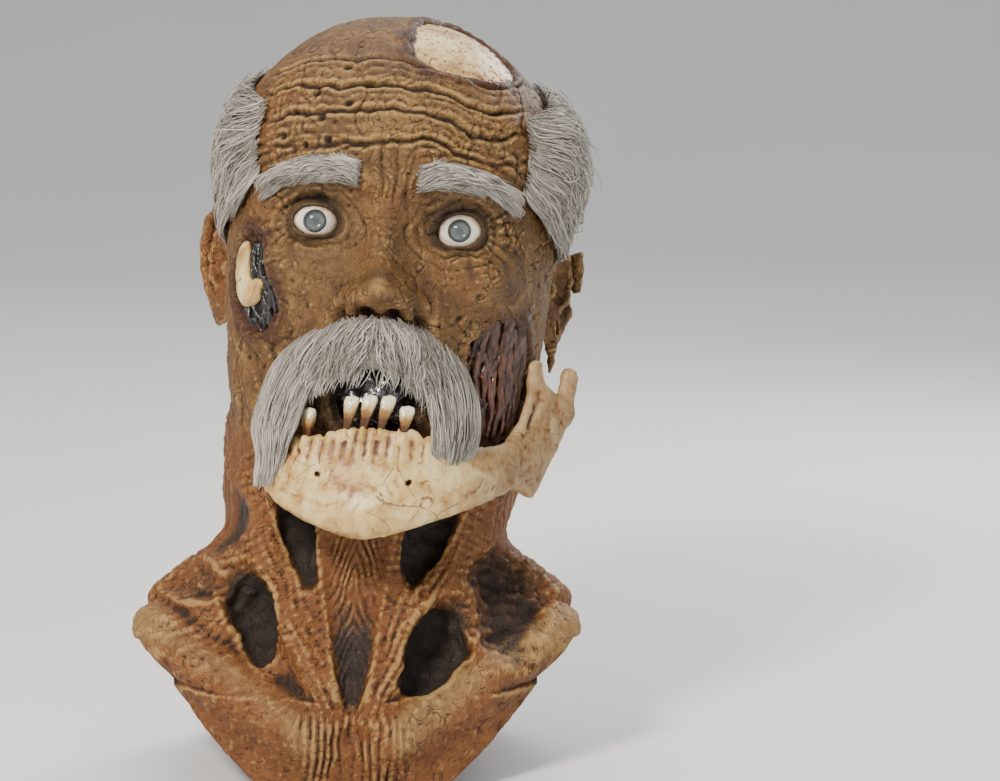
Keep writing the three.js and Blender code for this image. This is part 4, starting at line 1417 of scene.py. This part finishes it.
def fleshStrands():
    draw = np.random.default_rng(31)
    made = []
    levels = (43, 29, 15, 0, -15, -29, -43)
    for x in np.linspace(-25, 25, 13):
        sway = draw.uniform(-3.4, 3.4, len(levels)).cumsum() * 0.6
        places = [
            (x * (1 - 0.006 * abs(up)) + s, up, draw.uniform(-4.6, -1.6)) for s, up in zip(sway, levels)
        ]
        made.append((places, draw.uniform(1.0, 3.1, len(levels))))
    for _ in range(22):
        x, up = draw.uniform(-24, 24), draw.uniform(-34, 34)
        end = (x + draw.uniform(-9, 9), up - draw.uniform(8, 18), draw.uniform(-4.2, -1.6))
        made.append(([(x, up, draw.uniform(-3.8, -1.0)), end], draw.uniform(0.7, 2.0, 2)))
    return made


def sinewStrands():
    draw = np.random.default_rng(37)
    made = []
    for _ in range(34):
        x, up = draw.uniform(-14, 18), draw.uniform(-14, 24)
        middle = (x + draw.uniform(-2, 7), up - draw.uniform(6, 12), draw.uniform(-5, -1.8))
        end = (middle[0] + draw.uniform(-4, 8), middle[1] - draw.uniform(5, 12), -5)
        made.append(([(x, up, -5), middle, end], draw.uniform(0.6, 1.9, 3)))
    return made


def buildTears():
    red = wetFinish("wetFlesh", (0.008, 0.003, 0.001), (0.055, 0.014, 0.004), (0.185, 0.066, 0.020), 0.4)
    black = wetFinish("wetBlack", (0.003, 0.003, 0.003), (0.010, 0.008, 0.007), (0.040, 0.030, 0.022), 0.55)

    def flesh(q):
        sheet = (
            np.abs(q[..., 2] + 6.6) - 1.1
            + np.maximum(np.hypot(q[..., 0] / 37, q[..., 1] / 45) - 1, 0) * 37
        )
        return joined(sheet, strandField(q, fleshStrands(), 0.9), 1.0)

    q, faces = sculpted((-38, -46, -8), (38, 46, 2), tears["fleshVoxel"], flesh)
    fibres = 0.4 * roughness(q * [1, 0.25, 1], 1.9, 120, 2) + 0.9 * roughness(q * [1, 0.6, 1], 4.5, 121, 2)
    q = swollen(q, faces, fibres)
    p = onSkin(q, *skinDetail["cheek"][:2])
    values = {"crevice": hollowness(p, faces, 10)}
    muscle = meshPiece("cheekMuscle", inFrame(p), outwardFaces(p, faces), values)
    finished(muscle, red, "flesh", "cheek_flesh")

    def sinew(q):
        sheet = (
            np.abs(q[..., 2] + 6.4) - 1.0
            + np.maximum(np.hypot(q[..., 0] / 32, q[..., 1] / 33) - 1, 0) * 32
        )
        return joined(sheet, strandField(q, sinewStrands(), 0.5), 0.8)

    q, faces = sculpted((-33, -34, -8), (33, 34, 1), tears["sinewVoxel"], sinew)
    q = swollen(q, faces, 0.35 * roughness(q, 1.8, 124, 2))
    p = onSkin(q, *skinDetail["bone"][:2])
    values = {"crevice": hollowness(p, faces, 10)}
    cords = meshPiece("cheekSinew", inFrame(p), outwardFaces(p, faces), values)
    finished(cords, black, "black", "cheek_sinew")

    def cheekbone(q):
        body = lump(q, (-11, 5, -2.6), (8.5, 17, 4.2))
        body = joined(body, lump(q, (-2, -7, -2.8), (10, 7, 3.8)), 4)
        body = joined(body, lump(q, (-13, 17, -3.2), (6, 7, 3.0)), 3)
        body = joined(body, lump(q, (7, -1, -3.4), (5, 3, 2.2)), 3)
        return cutBy(body, capsule(q, (-19, -2, 0.8), (-3, 3, 1.4), 0.7), 0.6)

    q, faces = sculpted((-22, -20, -8), (16, 27, 3), tears["boneVoxel"], cheekbone)
    q = swollen(q, faces, 0.5 * roughness(q, 5, 126, 2) + 0.3 * cracks(q, 7, 0.08, 128))
    p = onSkin(q, *skinDetail["bone"][:2])
    values = {"crevice": hollowness(p, faces, 8), "tan": np.zeros(len(p))}
    bare = meshPiece("bareCheekbone", inFrame(p), outwardFaces(p, faces), values)
    finished(bare, boneMaterial, "bone", "cheekbone")

    a, b, low, high = skinDetail["plate"]
    angle, z = np.meshgrid(np.linspace(a - 0.06, b + 0.06, 150), np.linspace(high + 1.5, low - 3, 90))
    p = skinPoint(angle, z, tears["plateLift"])
    n = gridNormals(p)
    away = p - [0, 5, 300]
    n = n * np.sign((n * away).sum(-1, keepdims=True))
    dents = 0.5 * roughness(p, 13, 130, 2) + 0.9 * cracks(p, 30, 0.022, 131)
    dents = dents - 0.5 * hill(roughness(p, 3.4, 132) - 0.55, 0.2)
    p = p + n * dents[..., None]
    crevice = ((softened(p, 4) - p) * n).sum(-1)
    border = -plateRoom(angle, p)
    faces = outwardFaces(p.reshape(-1, 3) - [0, 0, 300], gridFaces(*z.shape))
    crevice = crevice * 2 + 0.9 * stepUp(border, 3.0, -0.5)
    values = {"crevice": crevice.ravel(), "tan": (0.35 * stepUp(border, 7, 0)).ravel()}
    piece = meshPiece("bareSkull", inFrame(p.reshape(-1, 3)), faces, values)
    walled(piece, tears["plateWall"])
    finished(piece, boneMaterial, "bone", "skull_plate")


buildTears()
print("bare bone, flesh and sinew done")


mouthDetail = {"wall": 1.8, "depth": 12, "overlap": 6, "voxel": 0.55, "knobs": 26}


def buildMouth():
    f = Finish("mouthBlack", Coat_Roughness=0.06)
    crevice = f.reading("crevice")
    lumps = f.cloud(5, 5, 0.62, warp=0.6)
    base = f.ramp(
        lumps, (0.3, (0.006, 0.006, 0.006)), (0.6, (0.016, 0.015, 0.015)), (0.85, (0.055, 0.052, 0.050))
    )
    # painted highlight: the raised lumps of the lining and the tongue are lightened to a dark grey
    base = f.colours((crevice * -1.0).between(0.1, 0.6) * 0.4, base, (0.075, 0.072, 0.070))
    f.bumps((lumps, 0.8), (f.cloud(1.2, 3, 0.6), 0.15))
    f.paint(Base_Color=base, Roughness=0.30 - 0.14 * lumps, Coat_Weight=lumps.between(0.2, 0.5) * 0.9)

    u, v = np.meshgrid(np.linspace(-1, 1, 90), np.linspace(1, -1, 76))
    middle, halfWidth, halfHeight = skinDetail["mouth"]
    x = u * (halfWidth + mouthDetail["overlap"])
    z = middle + v * (halfHeight + mouthDetail["overlap"])
    hollow = mouthDetail["depth"] * (1 - u**4) * (1 - v**4)
    p = skinPoint(angleAt(x, z), z, 4.6 + hollow)
    pleats = folds(np.arctan2(v, u) * 3.3 + roughness(p, 16, 142))
    p[..., 1] += 1.1 * roughness(p, 9, 140, 2) - 0.9 * pleats * (1 - u**4)
    crevice = softened(p, 5)[..., 1] - p[..., 1]
    faces = gridFaces(*x.shape)
    p = p.reshape(-1, 3)
    faces = outwardFaces(p - [0, -60, middle], faces)
    piece = meshPiece("mouthLining", inFrame(p), faces, {"crevice": -crevice.ravel()})
    walled(piece, mouthDetail["wall"])
    finished(piece, f.material, "black", "mouth_liner")

    draw = np.random.default_rng(43)
    knobs = [
        ((draw.uniform(-15, 15), draw.uniform(-93, -88), 224 + draw.uniform(-9, 11)), draw.uniform(3, 6))
        for _ in range(mouthDetail["knobs"])
    ]

    def tongue(p):
        body = lump(p, (0, -85, 223), (17, 8.5, 11))
        body = joined(body, lump(p, (-4, -90, 219), (12, 7, 7)), 4)
        for place, r in knobs:
            body = joined(body, lump(p, place, (r, r * 0.7, r)), 1.6)
        return cutBy(body, capsule(p, (-2, -99, 214), (1, -97, 230), 0.8), 1.4)

    p, faces = sculpted((-24, -100, 206), (24, -74, 240), mouthDetail["voxel"], tongue)
    p = swollen(p, faces, 0.6 * roughness(p, 4.5, 144, 2))
    values = {"crevice": hollowness(p, faces, 8)}
    finished(meshPiece("lumpyTongue", inFrame(p), faces, values), f.material, "black", "tongue")


buildMouth()
print("mouth done")

# ears

ear = {"place": (105, 20, 305), "flare": 0.55, "voxel": 0.62}


def earField(q, torn):
    body = joined(lump(q, (0, 6, 1.5), (17.5, 27, 3.0)), lump(q, (-3, -27, 1.6), (9, 11, 3.0)), 5)
    rim = [
        (-8, 4, 3),
        (-14, 15, 4),
        (-10, 28, 5),
        (3, 33, 6),
        (14, 27, 6.4),
        (18.5, 13, 6.4),
        (17, -3, 5.8),
        (11, -17, 4.6),
        (4, -28, 3.6),
    ]
    body = joined(body, chain(q, rim, [2.2, 2.6, 3.0, 3.2, 3.2, 3.1, 3.0, 2.7, 2.4], 1.5), 2.2)
    inner = [(-4, 23, 3.5), (5, 17, 4.6), (9.5, 4, 5), (7, -9, 4.6), (-1, -15, 4.2)]
    body = joined(body, chain(q, inner, [1.8, 2.3, 2.4, 2.4, 2.6], 1.5), 2.4)
    body = joined(body, lump(q, (-12, -4, 4.8), (4, 6, 3.4)), 2.5)
    body = cutBy(body, lump(q, (-2.5, -1, 5.2), (8.5, 10.5, 5.4)), 2.5)
    groove = [(-6, 15, 6.5), (2, 26, 7.5), (11, 20, 7.5), (13.5, 6, 7.5)]
    body = cutBy(body, chain(q, groove, [1.6, 2.2, 2.2, 1.8], 1), 1.6)
    if torn:
        edge = 2.6 * roughness(q, 7, 150, 2)
        body = cutBy(body, lump(q, (11, 31, 3), (11, 9, 22)) + edge, 1.0)
        body = cutBy(body, lump(q, (17, -12, 3), (6, 9, 22)) + edge, 1.0)
        strip = chain(
            q, [(-1, -30, 2), (-4, -40, 2.5), (-1, -48, 1.5), (-3, -55, 2)], [3.8, 2.8, 2.2, 1.0], 1.5
        )
        body = joined(body, strip, 3)
        body = cutBy(body, lump(q, (-2, -27, 2), (2.2, 4.5, 12)), 1.0)
    return body


def buildEars(finish):
    for name, side in (("right", -1), ("left", 1)):
        q, faces = sculpted((-22, -60, -5), (24, 40, 12), ear["voxel"], lambda g: earField(g, side > 0))
        bent = q + 3 * np.stack([roughness(q, 14, 152 + i) for i in range(3)], -1)
        creases = 0.7 * roughness(q, 8, 156, 2) + 0.55 * cracks(bent, 6.5, 0.12, 158)
        q = swollen(q, faces, creases + 0.3 * roughness(q, 2.6, 160))
        turn = side * -ear["flare"]
        x, y = side * q[:, 2], q[:, 0]
        place = np.array(ear["place"]) * [side, 1, 1]
        c, s = math.cos(turn), math.sin(turn)
        p = stacked(x * c - y * s, x * s + y * c, q[:, 1]) + place
        faces = outwardFaces(p - place, faces)
        zero = np.zeros(len(p))
        values = dict.fromkeys(("socket", "wet", "under", "dark", "deep", "bony"), zero)
        values |= {"crevice": hollowness(p, faces, 8) * 1.1, "hollow": hollowness(p, faces, 30)}
        values |= {"edge": zero + skinDetail["farOff"], "neck": zero + 0.3}
        finished(meshPiece(f"earShell_{name}", inFrame(p), faces, values), finish, "latex", f"ear_{name}")


buildEars(skinMaterial)
print("ears done")

# hair: a combed mat that follows the CAD's block, and tapered strands laid over it

hair = {
    "gap": 1.5,
    "strandSteps": 9,
    "glue": 0.4,
    "grooves": {"u": (16, 70), "v": (130, 9)},
    "moustacheStrands": 3500,
    "browStrands": 1500,
    "sideStrands": {"right": 2600, "left": 3300},
    "backStrands": 2900,
    "arch": [
        [-57, 188], [-57, 208], [-47, 236], [-25, 252], [0, 256], [22, 252], [41, 235], [49, 206], [47, 180]
    ],
}


def turnedOut(p, faces):  # a closed block's faces, turned so that its volume is positive
    a, b, c, d = (p[faces[:, k]] for k in range(4))
    volume = (np.cross(b - a, c - a) * a).sum() + (np.cross(c - a, d - a) * a).sum()
    return faces if volume > 0 else faces[:, ::-1]


def moustacheBlock(u, v, w):
    pts = [[a, 0, b] for a, b in hair["arch"]]
    inside = np.clip(u, 0, 1)
    middle, along = throughPoints(pts, inside), alongCurve(pts, inside)
    half = (15 - 2 * (2 * inside - 1) ** 2) * (1 - 0.35 * stepUp(np.abs(u - 0.5), 0.36, 0.52))
    across = (2 * v - 1) * half
    past = (u - inside) * 250
    x = middle[..., 0] - along[..., 2] * across + along[..., 0] * past
    z = middle[..., 2] + along[..., 0] * across + along[..., 2] * past
    thick = 10 * np.sin(math.pi * (0.14 + 0.72 * np.clip(v, 0, 1)))
    ground = np.maximum(z, 164)
    p = skinPoint(angleAt(x, ground), ground, -hair["glue"] - thick * w)
    return stacked(x, p[..., 1] - 30 * (1 - stepUp(z, 196, 240)), z)


def browBlock(side, u, v, w):
    x = side * (17 + 57 * u)
    z = (
        354 + 7 * np.sin(math.pi * np.minimum(1, 0.9 * np.clip(u, 0, 1.1))) - 6 * u
        + (18 * v - 9) * (1 - 0.35 * u)
    )
    thick = 8 * np.sin(math.pi * (0.15 + 0.70 * np.clip(v, 0.0, 1)))
    return skinPoint(angleAt(x, z), z, -hair["glue"] - thick * w)


def matBlock(side, u, v, w):
    inside = np.clip(u, 0, 1)
    if side:
        angle = side * (0.95 + 1.14 * u)
        top = 398 + 26 * np.minimum(1, 1.6 * inside)
        bottom, bulk = 352 - 52 * u, (18 if side > 0 else 11) * (0.2 + 0.8 * stepUp(u, -0.05, 0.2))
    else:
        angle = 2.098 + (2 * math.pi - 4.196) * u
        top, bottom, bulk = 424, 300 - 62 * np.sin(math.pi * inside), 13
    z = bottom + (top - bottom) * v
    thick = bulk * np.sin(math.pi * (0.12 + 0.68 * np.clip(v, 0, 1))) ** 0.7
    p = skinPoint(angle, z, -hair["gap"] - thick * w)
    if side:
        off = (p - [side * 113, 23, 309]) / [31, 31, 38]
        clear = stepUp(np.linalg.norm(off, axis=-1), 0.80, 1.15)
        p = skinPoint(angle, z, -hair["gap"] * (0.2 + 0.8 * clear) - thick * w * clear)
    return p


def strandMesh(paths, radius):  # thin three-sided tubes that taper to both ends
    count, steps, _ = paths.shape
    along = np.gradient(paths, axis=1)
    side = np.cross(along, [0.31, -1, 0.23])
    side /= np.linalg.norm(side, axis=-1, keepdims=True) + 1e-9
    up = np.cross(side, along)
    up /= np.linalg.norm(up, axis=-1, keepdims=True) + 1e-9
    taper = np.interp(np.linspace(0, 1, steps), [0, 0.15, 0.7, 1], [0.6, 1, 0.8, 0.08])
    turn = np.arange(3) * 2 * math.pi / 3
    reach = (radius[:, None] * taper)[..., None, None]
    ring = np.cos(turn)[:, None] * side[:, :, None] + np.sin(turn)[:, None] * up[:, :, None]
    points = (paths[:, :, None] + reach * ring).reshape(-1, 3)
    base = (np.arange(count) * steps * 3)[:, None, None] + (np.arange(steps - 1) * 3)[None, :, None]
    a, b = base + np.arange(3), base + (np.arange(3) + 1) % 3
    return points, np.stack([a, b, b + 3, a + 3], -1).reshape(-1, 4)


def combed(block, draw, starts, ends, radius, waver, lift, clumps):
    roots, tips = np.stack(starts, -1), np.stack(ends, -1)
    count, steps = len(roots), hair["strandSteps"]
    t = np.linspace(0, 1, steps)
    middle = roots[draw.choice(count, clumps)]  # each strand leans towards the others of its clump
    group = ((roots[:, None] - middle[None]) ** 2).sum(-1).argmin(1)
    gathered = np.array(
        [tips[group == i].mean(0) if (group == i).any() else tips[0] for i in range(clumps)]
    )
    ends = tips + (gathered[group] - tips) * draw.uniform(0.25, 0.75, (count, 1))
    bend = draw.normal(0, waver, (count, 2)) + draw.normal(0, waver, (clumps, 2))[group]
    u = roots[:, :1] + (ends - roots)[:, :1] * t + bend[:, :1] * np.sin(math.pi * t)
    v = roots[:, 1:] + (ends - roots)[:, 1:] * t + bend[:, 1:] * np.sin(math.pi * t * 1.3)
    w = (
        draw.uniform(0.25, 1.0, (count, 1)) * np.sin(math.pi * (0.12 + 0.62 * t))
        + draw.uniform(0, 1, (clumps, 1))[group] * 0.14
    )
    stray = draw.random((count, 1)) < 0.05
    w = w + stray * lift * t**2 * draw.uniform(0.3, 1, (count, 1))
    paths = block(u, v, w)
    points, faces = strandMesh(paths, draw.uniform(*radius, count))
    tone = np.clip(draw.normal(0.60, 0.17, count) + draw.normal(0, 0.09, clumps)[group], 0, 1)
    return points, faces, np.repeat(tone, steps * 3), np.tile(np.repeat(t, 3), count)


def hairFinish():
    f = Finish("greyHair", Roughness=0.46, Coat_Roughness=0.35)
    tone, along = f.reading("tone"), f.reading("along")
    base = f.ramp(
        tone,
        (0.0, (0.060, 0.050, 0.040)),
        (0.30, (0.200, 0.175, 0.145)),
        (0.62, (0.400, 0.365, 0.315)),
        (1.0, (0.66, 0.62, 0.55)),
    )
    base = f.colours(along.between(0.30, 0.0) * 0.45, base, (0.115, 0.078, 0.048))
    return f.paint(Base_Color=base, Coat_Weight=0.15 * tone)


def hairPiece(name, node, block, strands, finish, divisions, flow, seed):
    q, faces = roundedBlock(divisions, (0.15, 0.5, 0.9))
    u, v, w = q.T
    alongU, alongV = hair["grooves"][flow]
    fibre = roughness(np.stack([u * alongU, v * alongV, u * 0], -1), 1.0, seed, 2)
    p = block(u, v, w * (0.74 + 0.16 * fibre))
    faces = turnedOut(p, faces)
    points, strandFaces, tone, along = strands
    # painted shade: the mat beneath the strands gets a low tone, darker than the strands, for the shade
    # between them
    values = {
        "tone": np.append(np.clip(0.22 + 0.25 * fibre, 0, 1), tone),
        "along": np.append(0.3 + 0 * fibre, along),
    }
    p, faces = joinedShells((p, faces), (points, strandFaces))
    finished(meshPiece(name, inFrame(p), faces, values), finish, "hair", node)


def buildHair():
    finish = hairFinish()
    draw = np.random.default_rng(61)
    # moustache: straight down under the nose, then along the wings
    count = hair["moustacheStrands"]
    u0, v0 = draw.uniform(0.0, 1.0, count), draw.uniform(0.02, 1.02, count)
    crown = np.exp(-(((u0 - 0.5) / 0.17) ** 4))
    v0 = np.where(draw.random(count) < 0.6 * crown, draw.uniform(0.45, 1.05, count), v0)
    v0 = np.where(draw.random(count) < 0.16, draw.uniform(0.93, 1.07, count), v0)
    way = np.where(u0 < 0.5, -1, 1)
    far = draw.uniform(0.07, 0.15, count)
    u1 = np.clip(u0 + way * far * (1.15 - crown * 0.55), -0.055, 1.055)
    v1 = v0 - crown * draw.uniform(0.35, 0.85, count) + (1 - crown) * draw.normal(-0.03, 0.10, count)
    v1 = np.clip(v1, -0.32 * crown - 0.05, 1.06)
    strands = combed(moustacheBlock, draw, (u0, v0), (u1, v1), (0.24, 0.46), 0.012, 1.0, 210)
    hairPiece("moustacheHair", "moustache", moustacheBlock, strands, finish, (150, 34, 5), "u", 170)

    # brows: outward, and down at the tail
    for name, side in (("right", -1), ("left", 1)):
        count = hair["browStrands"]
        u0, v0 = draw.uniform(-0.02, 0.95, count), draw.uniform(0.05, 1.0, count)
        u1 = u0 + draw.uniform(0.10, 0.24, count)
        v1 = (
            v0 + draw.uniform(-0.45, 0.16, count) + 0.35 * stepUp(u0, 0.25, 0.0)
            - 0.35 * stepUp(u0, 0.6, 1.0)
        )
        block = partial(browBlock, side)
        strands = combed(block, draw, (u0, v0), (u1, v1), (0.22, 0.42), 0.03, 1.3, 70)
        hairPiece(f"browHair_{name}", f"brow_{name}", block, strands, finish, (70, 24, 5), "u", 172 + side)

    # the sides: swept back over the ears and down
    for name, side in (("right", -1), ("left", 1)):
        count = hair["sideStrands"][name]
        u0, v0 = draw.uniform(-0.03, 0.98, count), draw.uniform(0.0, 1.05, count)
        u0 = np.where(draw.random(count) < 0.12, draw.uniform(-0.06, 0.03, count), u0)
        u1 = u0 + draw.uniform(0.16, 0.40, count)
        v1 = v0 - draw.uniform(0.05, 0.42, count) - 0.12 * stepUp(u0, 0.3, 1)
        v1 = np.maximum(v1, -0.08)
        u1 = np.minimum(u1, 1.03)
        block = partial(matBlock, side)
        strands = combed(block, draw, (u0, v0), (u1, v1), (0.24, 0.46), 0.03, 0.9, 160)
        hairPiece(f"sideHair_{name}", f"hair_{name}", block, strands, finish, (90, 90, 4), "v", 176 + side)

    # the back: straight down
    count = hair["backStrands"]
    u0, v0 = draw.uniform(0.0, 1.0, count), 1.04 - 0.98 * draw.uniform(0, 1, count) ** 1.5
    u1 = u0 + draw.normal(0, 0.02, count)
    v1 = np.maximum(v0 - draw.uniform(0.2, 0.5, count), -0.09)
    block = partial(matBlock, 0)
    strands = combed(block, draw, (u0, v0), (u1, v1), (0.38, 0.66), 0.014, 0.9, 200)
    hairPiece("backHair", "hair_back", block, strands, finish, (150, 90, 4), "v", 178)


buildHair()
print("hair done")

# foam pads inside the crown and the temples

pads = {
    "crown_pad": {
        "angles": (-2.6, 2.6), "heights": (436, 458), "depths": (5.5, 15), "divisions": (150, 22, 12)
    },
    "temple_pad_right": {
        "angles": (-1.15, -1.75), "heights": (330, 385), "depths": (6.4, 16), "divisions": (60, 56, 12)
    },
    "temple_pad_left": {
        "angles": (1.15, 1.75), "heights": (330, 385), "depths": (6.4, 16), "divisions": (60, 56, 12)
    },
}


def foamFinish():
    f = Finish("blackFoam", Roughness=0.9)
    pores = f.cells(2.2, "F1").between(0.35, 0.05)
    base = f.ramp(f.cloud(6, 4, 0.6), (0.3, (0.030, 0.030, 0.032)), (0.7, (0.062, 0.061, 0.062)))
    base = f.colours(pores * 0.8, base, (0.008, 0.008, 0.008))
    f.bumps((pores * -1.0, 0.5), (f.cloud(1.0, 3, 0.6), 0.15))
    return f.paint(Base_Color=base)


def buildPads():
    foam = foamFinish()
    for i, (node, size) in enumerate(pads.items()):
        q, faces = roundedBlock(size["divisions"], (0.06, 0.55, 0.55))
        u, v, w = q.T
        (a, b), (low, high), (near, deep) = size["angles"], size["heights"], size["depths"]
        p = skinPoint(a + (b - a) * u, low + (high - low) * v, near + (deep - near) * w)
        p = swollen(p, faces, 0.3 * roughness(p, 6, 190 + i, 2))
        piece = meshPiece(f"foam_{node}", inFrame(p), turnedOut(p, faces))
        finished(piece, foam, "foam", node)


buildPads()
print("pads done")


floorDetail = {"flat": 3.4, "curve": 1.8, "hub": 0.0001, "rings": 12, "curveRings": 14, "columns": 96}
lampAim = (0, 0, 0.25)
lamps = [  # place, size, power in watts, colour
    ("key", (-0.62, -1.25, 1.25), 0.40, 42, (1.0, 0.94, 0.86)),
    ("fill", (1.25, -1.05, 0.6), 1.0, 6, (0.92, 0.96, 1.0)),
    ("rim", (0.9, 1.2, 1.1), 0.7, 18, (1.0, 0.98, 0.95)),
    ("sky", (0.0, 1.6, 3.6), 3.5, 110, (1.0, 1.0, 1.0)),
]


def studio():
    f = Finish("paleFloor", Roughness=0.75)
    floorColour = f.ramp(f.cloud(900, 2, 0.4), (0.3, (0.74, 0.735, 0.725)), (0.7, (0.78, 0.775, 0.765)))
    f.paint(Base_Color=floorColour)
    # a wide round floor that curves up far behind the piece on every side
    d = floorDetail
    bend = np.linspace(0, math.pi / 2, d["curveRings"])[1:]
    level = np.linspace(d["hub"], d["flat"], d["rings"])
    reach = np.concatenate([level, d["flat"] + d["curve"] * np.sin(bend)])[:, None]
    rise = np.concatenate([0 * level, d["curve"] - d["curve"] * np.cos(bend)])[:, None]
    turn = np.linspace(0, 2 * math.pi, d["columns"], endpoint=False)
    points = stacked(reach * np.cos(turn), reach * np.sin(turn), rise + 0 * turn).reshape(-1, 3)
    floor = meshPiece("floor", points, gridFaces(len(reach), d["columns"], closed=True))
    floor.data.materials.append(f.material)
    world = bpy.data.worlds.new("studio")
    bpy.context.scene.world = world
    world.use_nodes = True
    backdrop = world.node_tree.nodes["Background"].inputs
    backdrop["Color"].default_value = (0.93, 0.96, 1.0, 1)
    backdrop["Strength"].default_value = 0.33
    for name, place, size, power, colour in lamps:
        data = bpy.data.lights.new(name, "AREA")
        data.shape = "DISK"
        data.size = size
        data.energy = power
        data.color = colour
        lamp = bpy.data.objects.new(name, data)
        lamp.location = place
        lamp.rotation_euler = (Vector(lampAim) - lamp.location).to_track_quat("-Z", "Y").to_euler()
        bpy.context.collection.objects.link(lamp)


studio()
print("studio done")
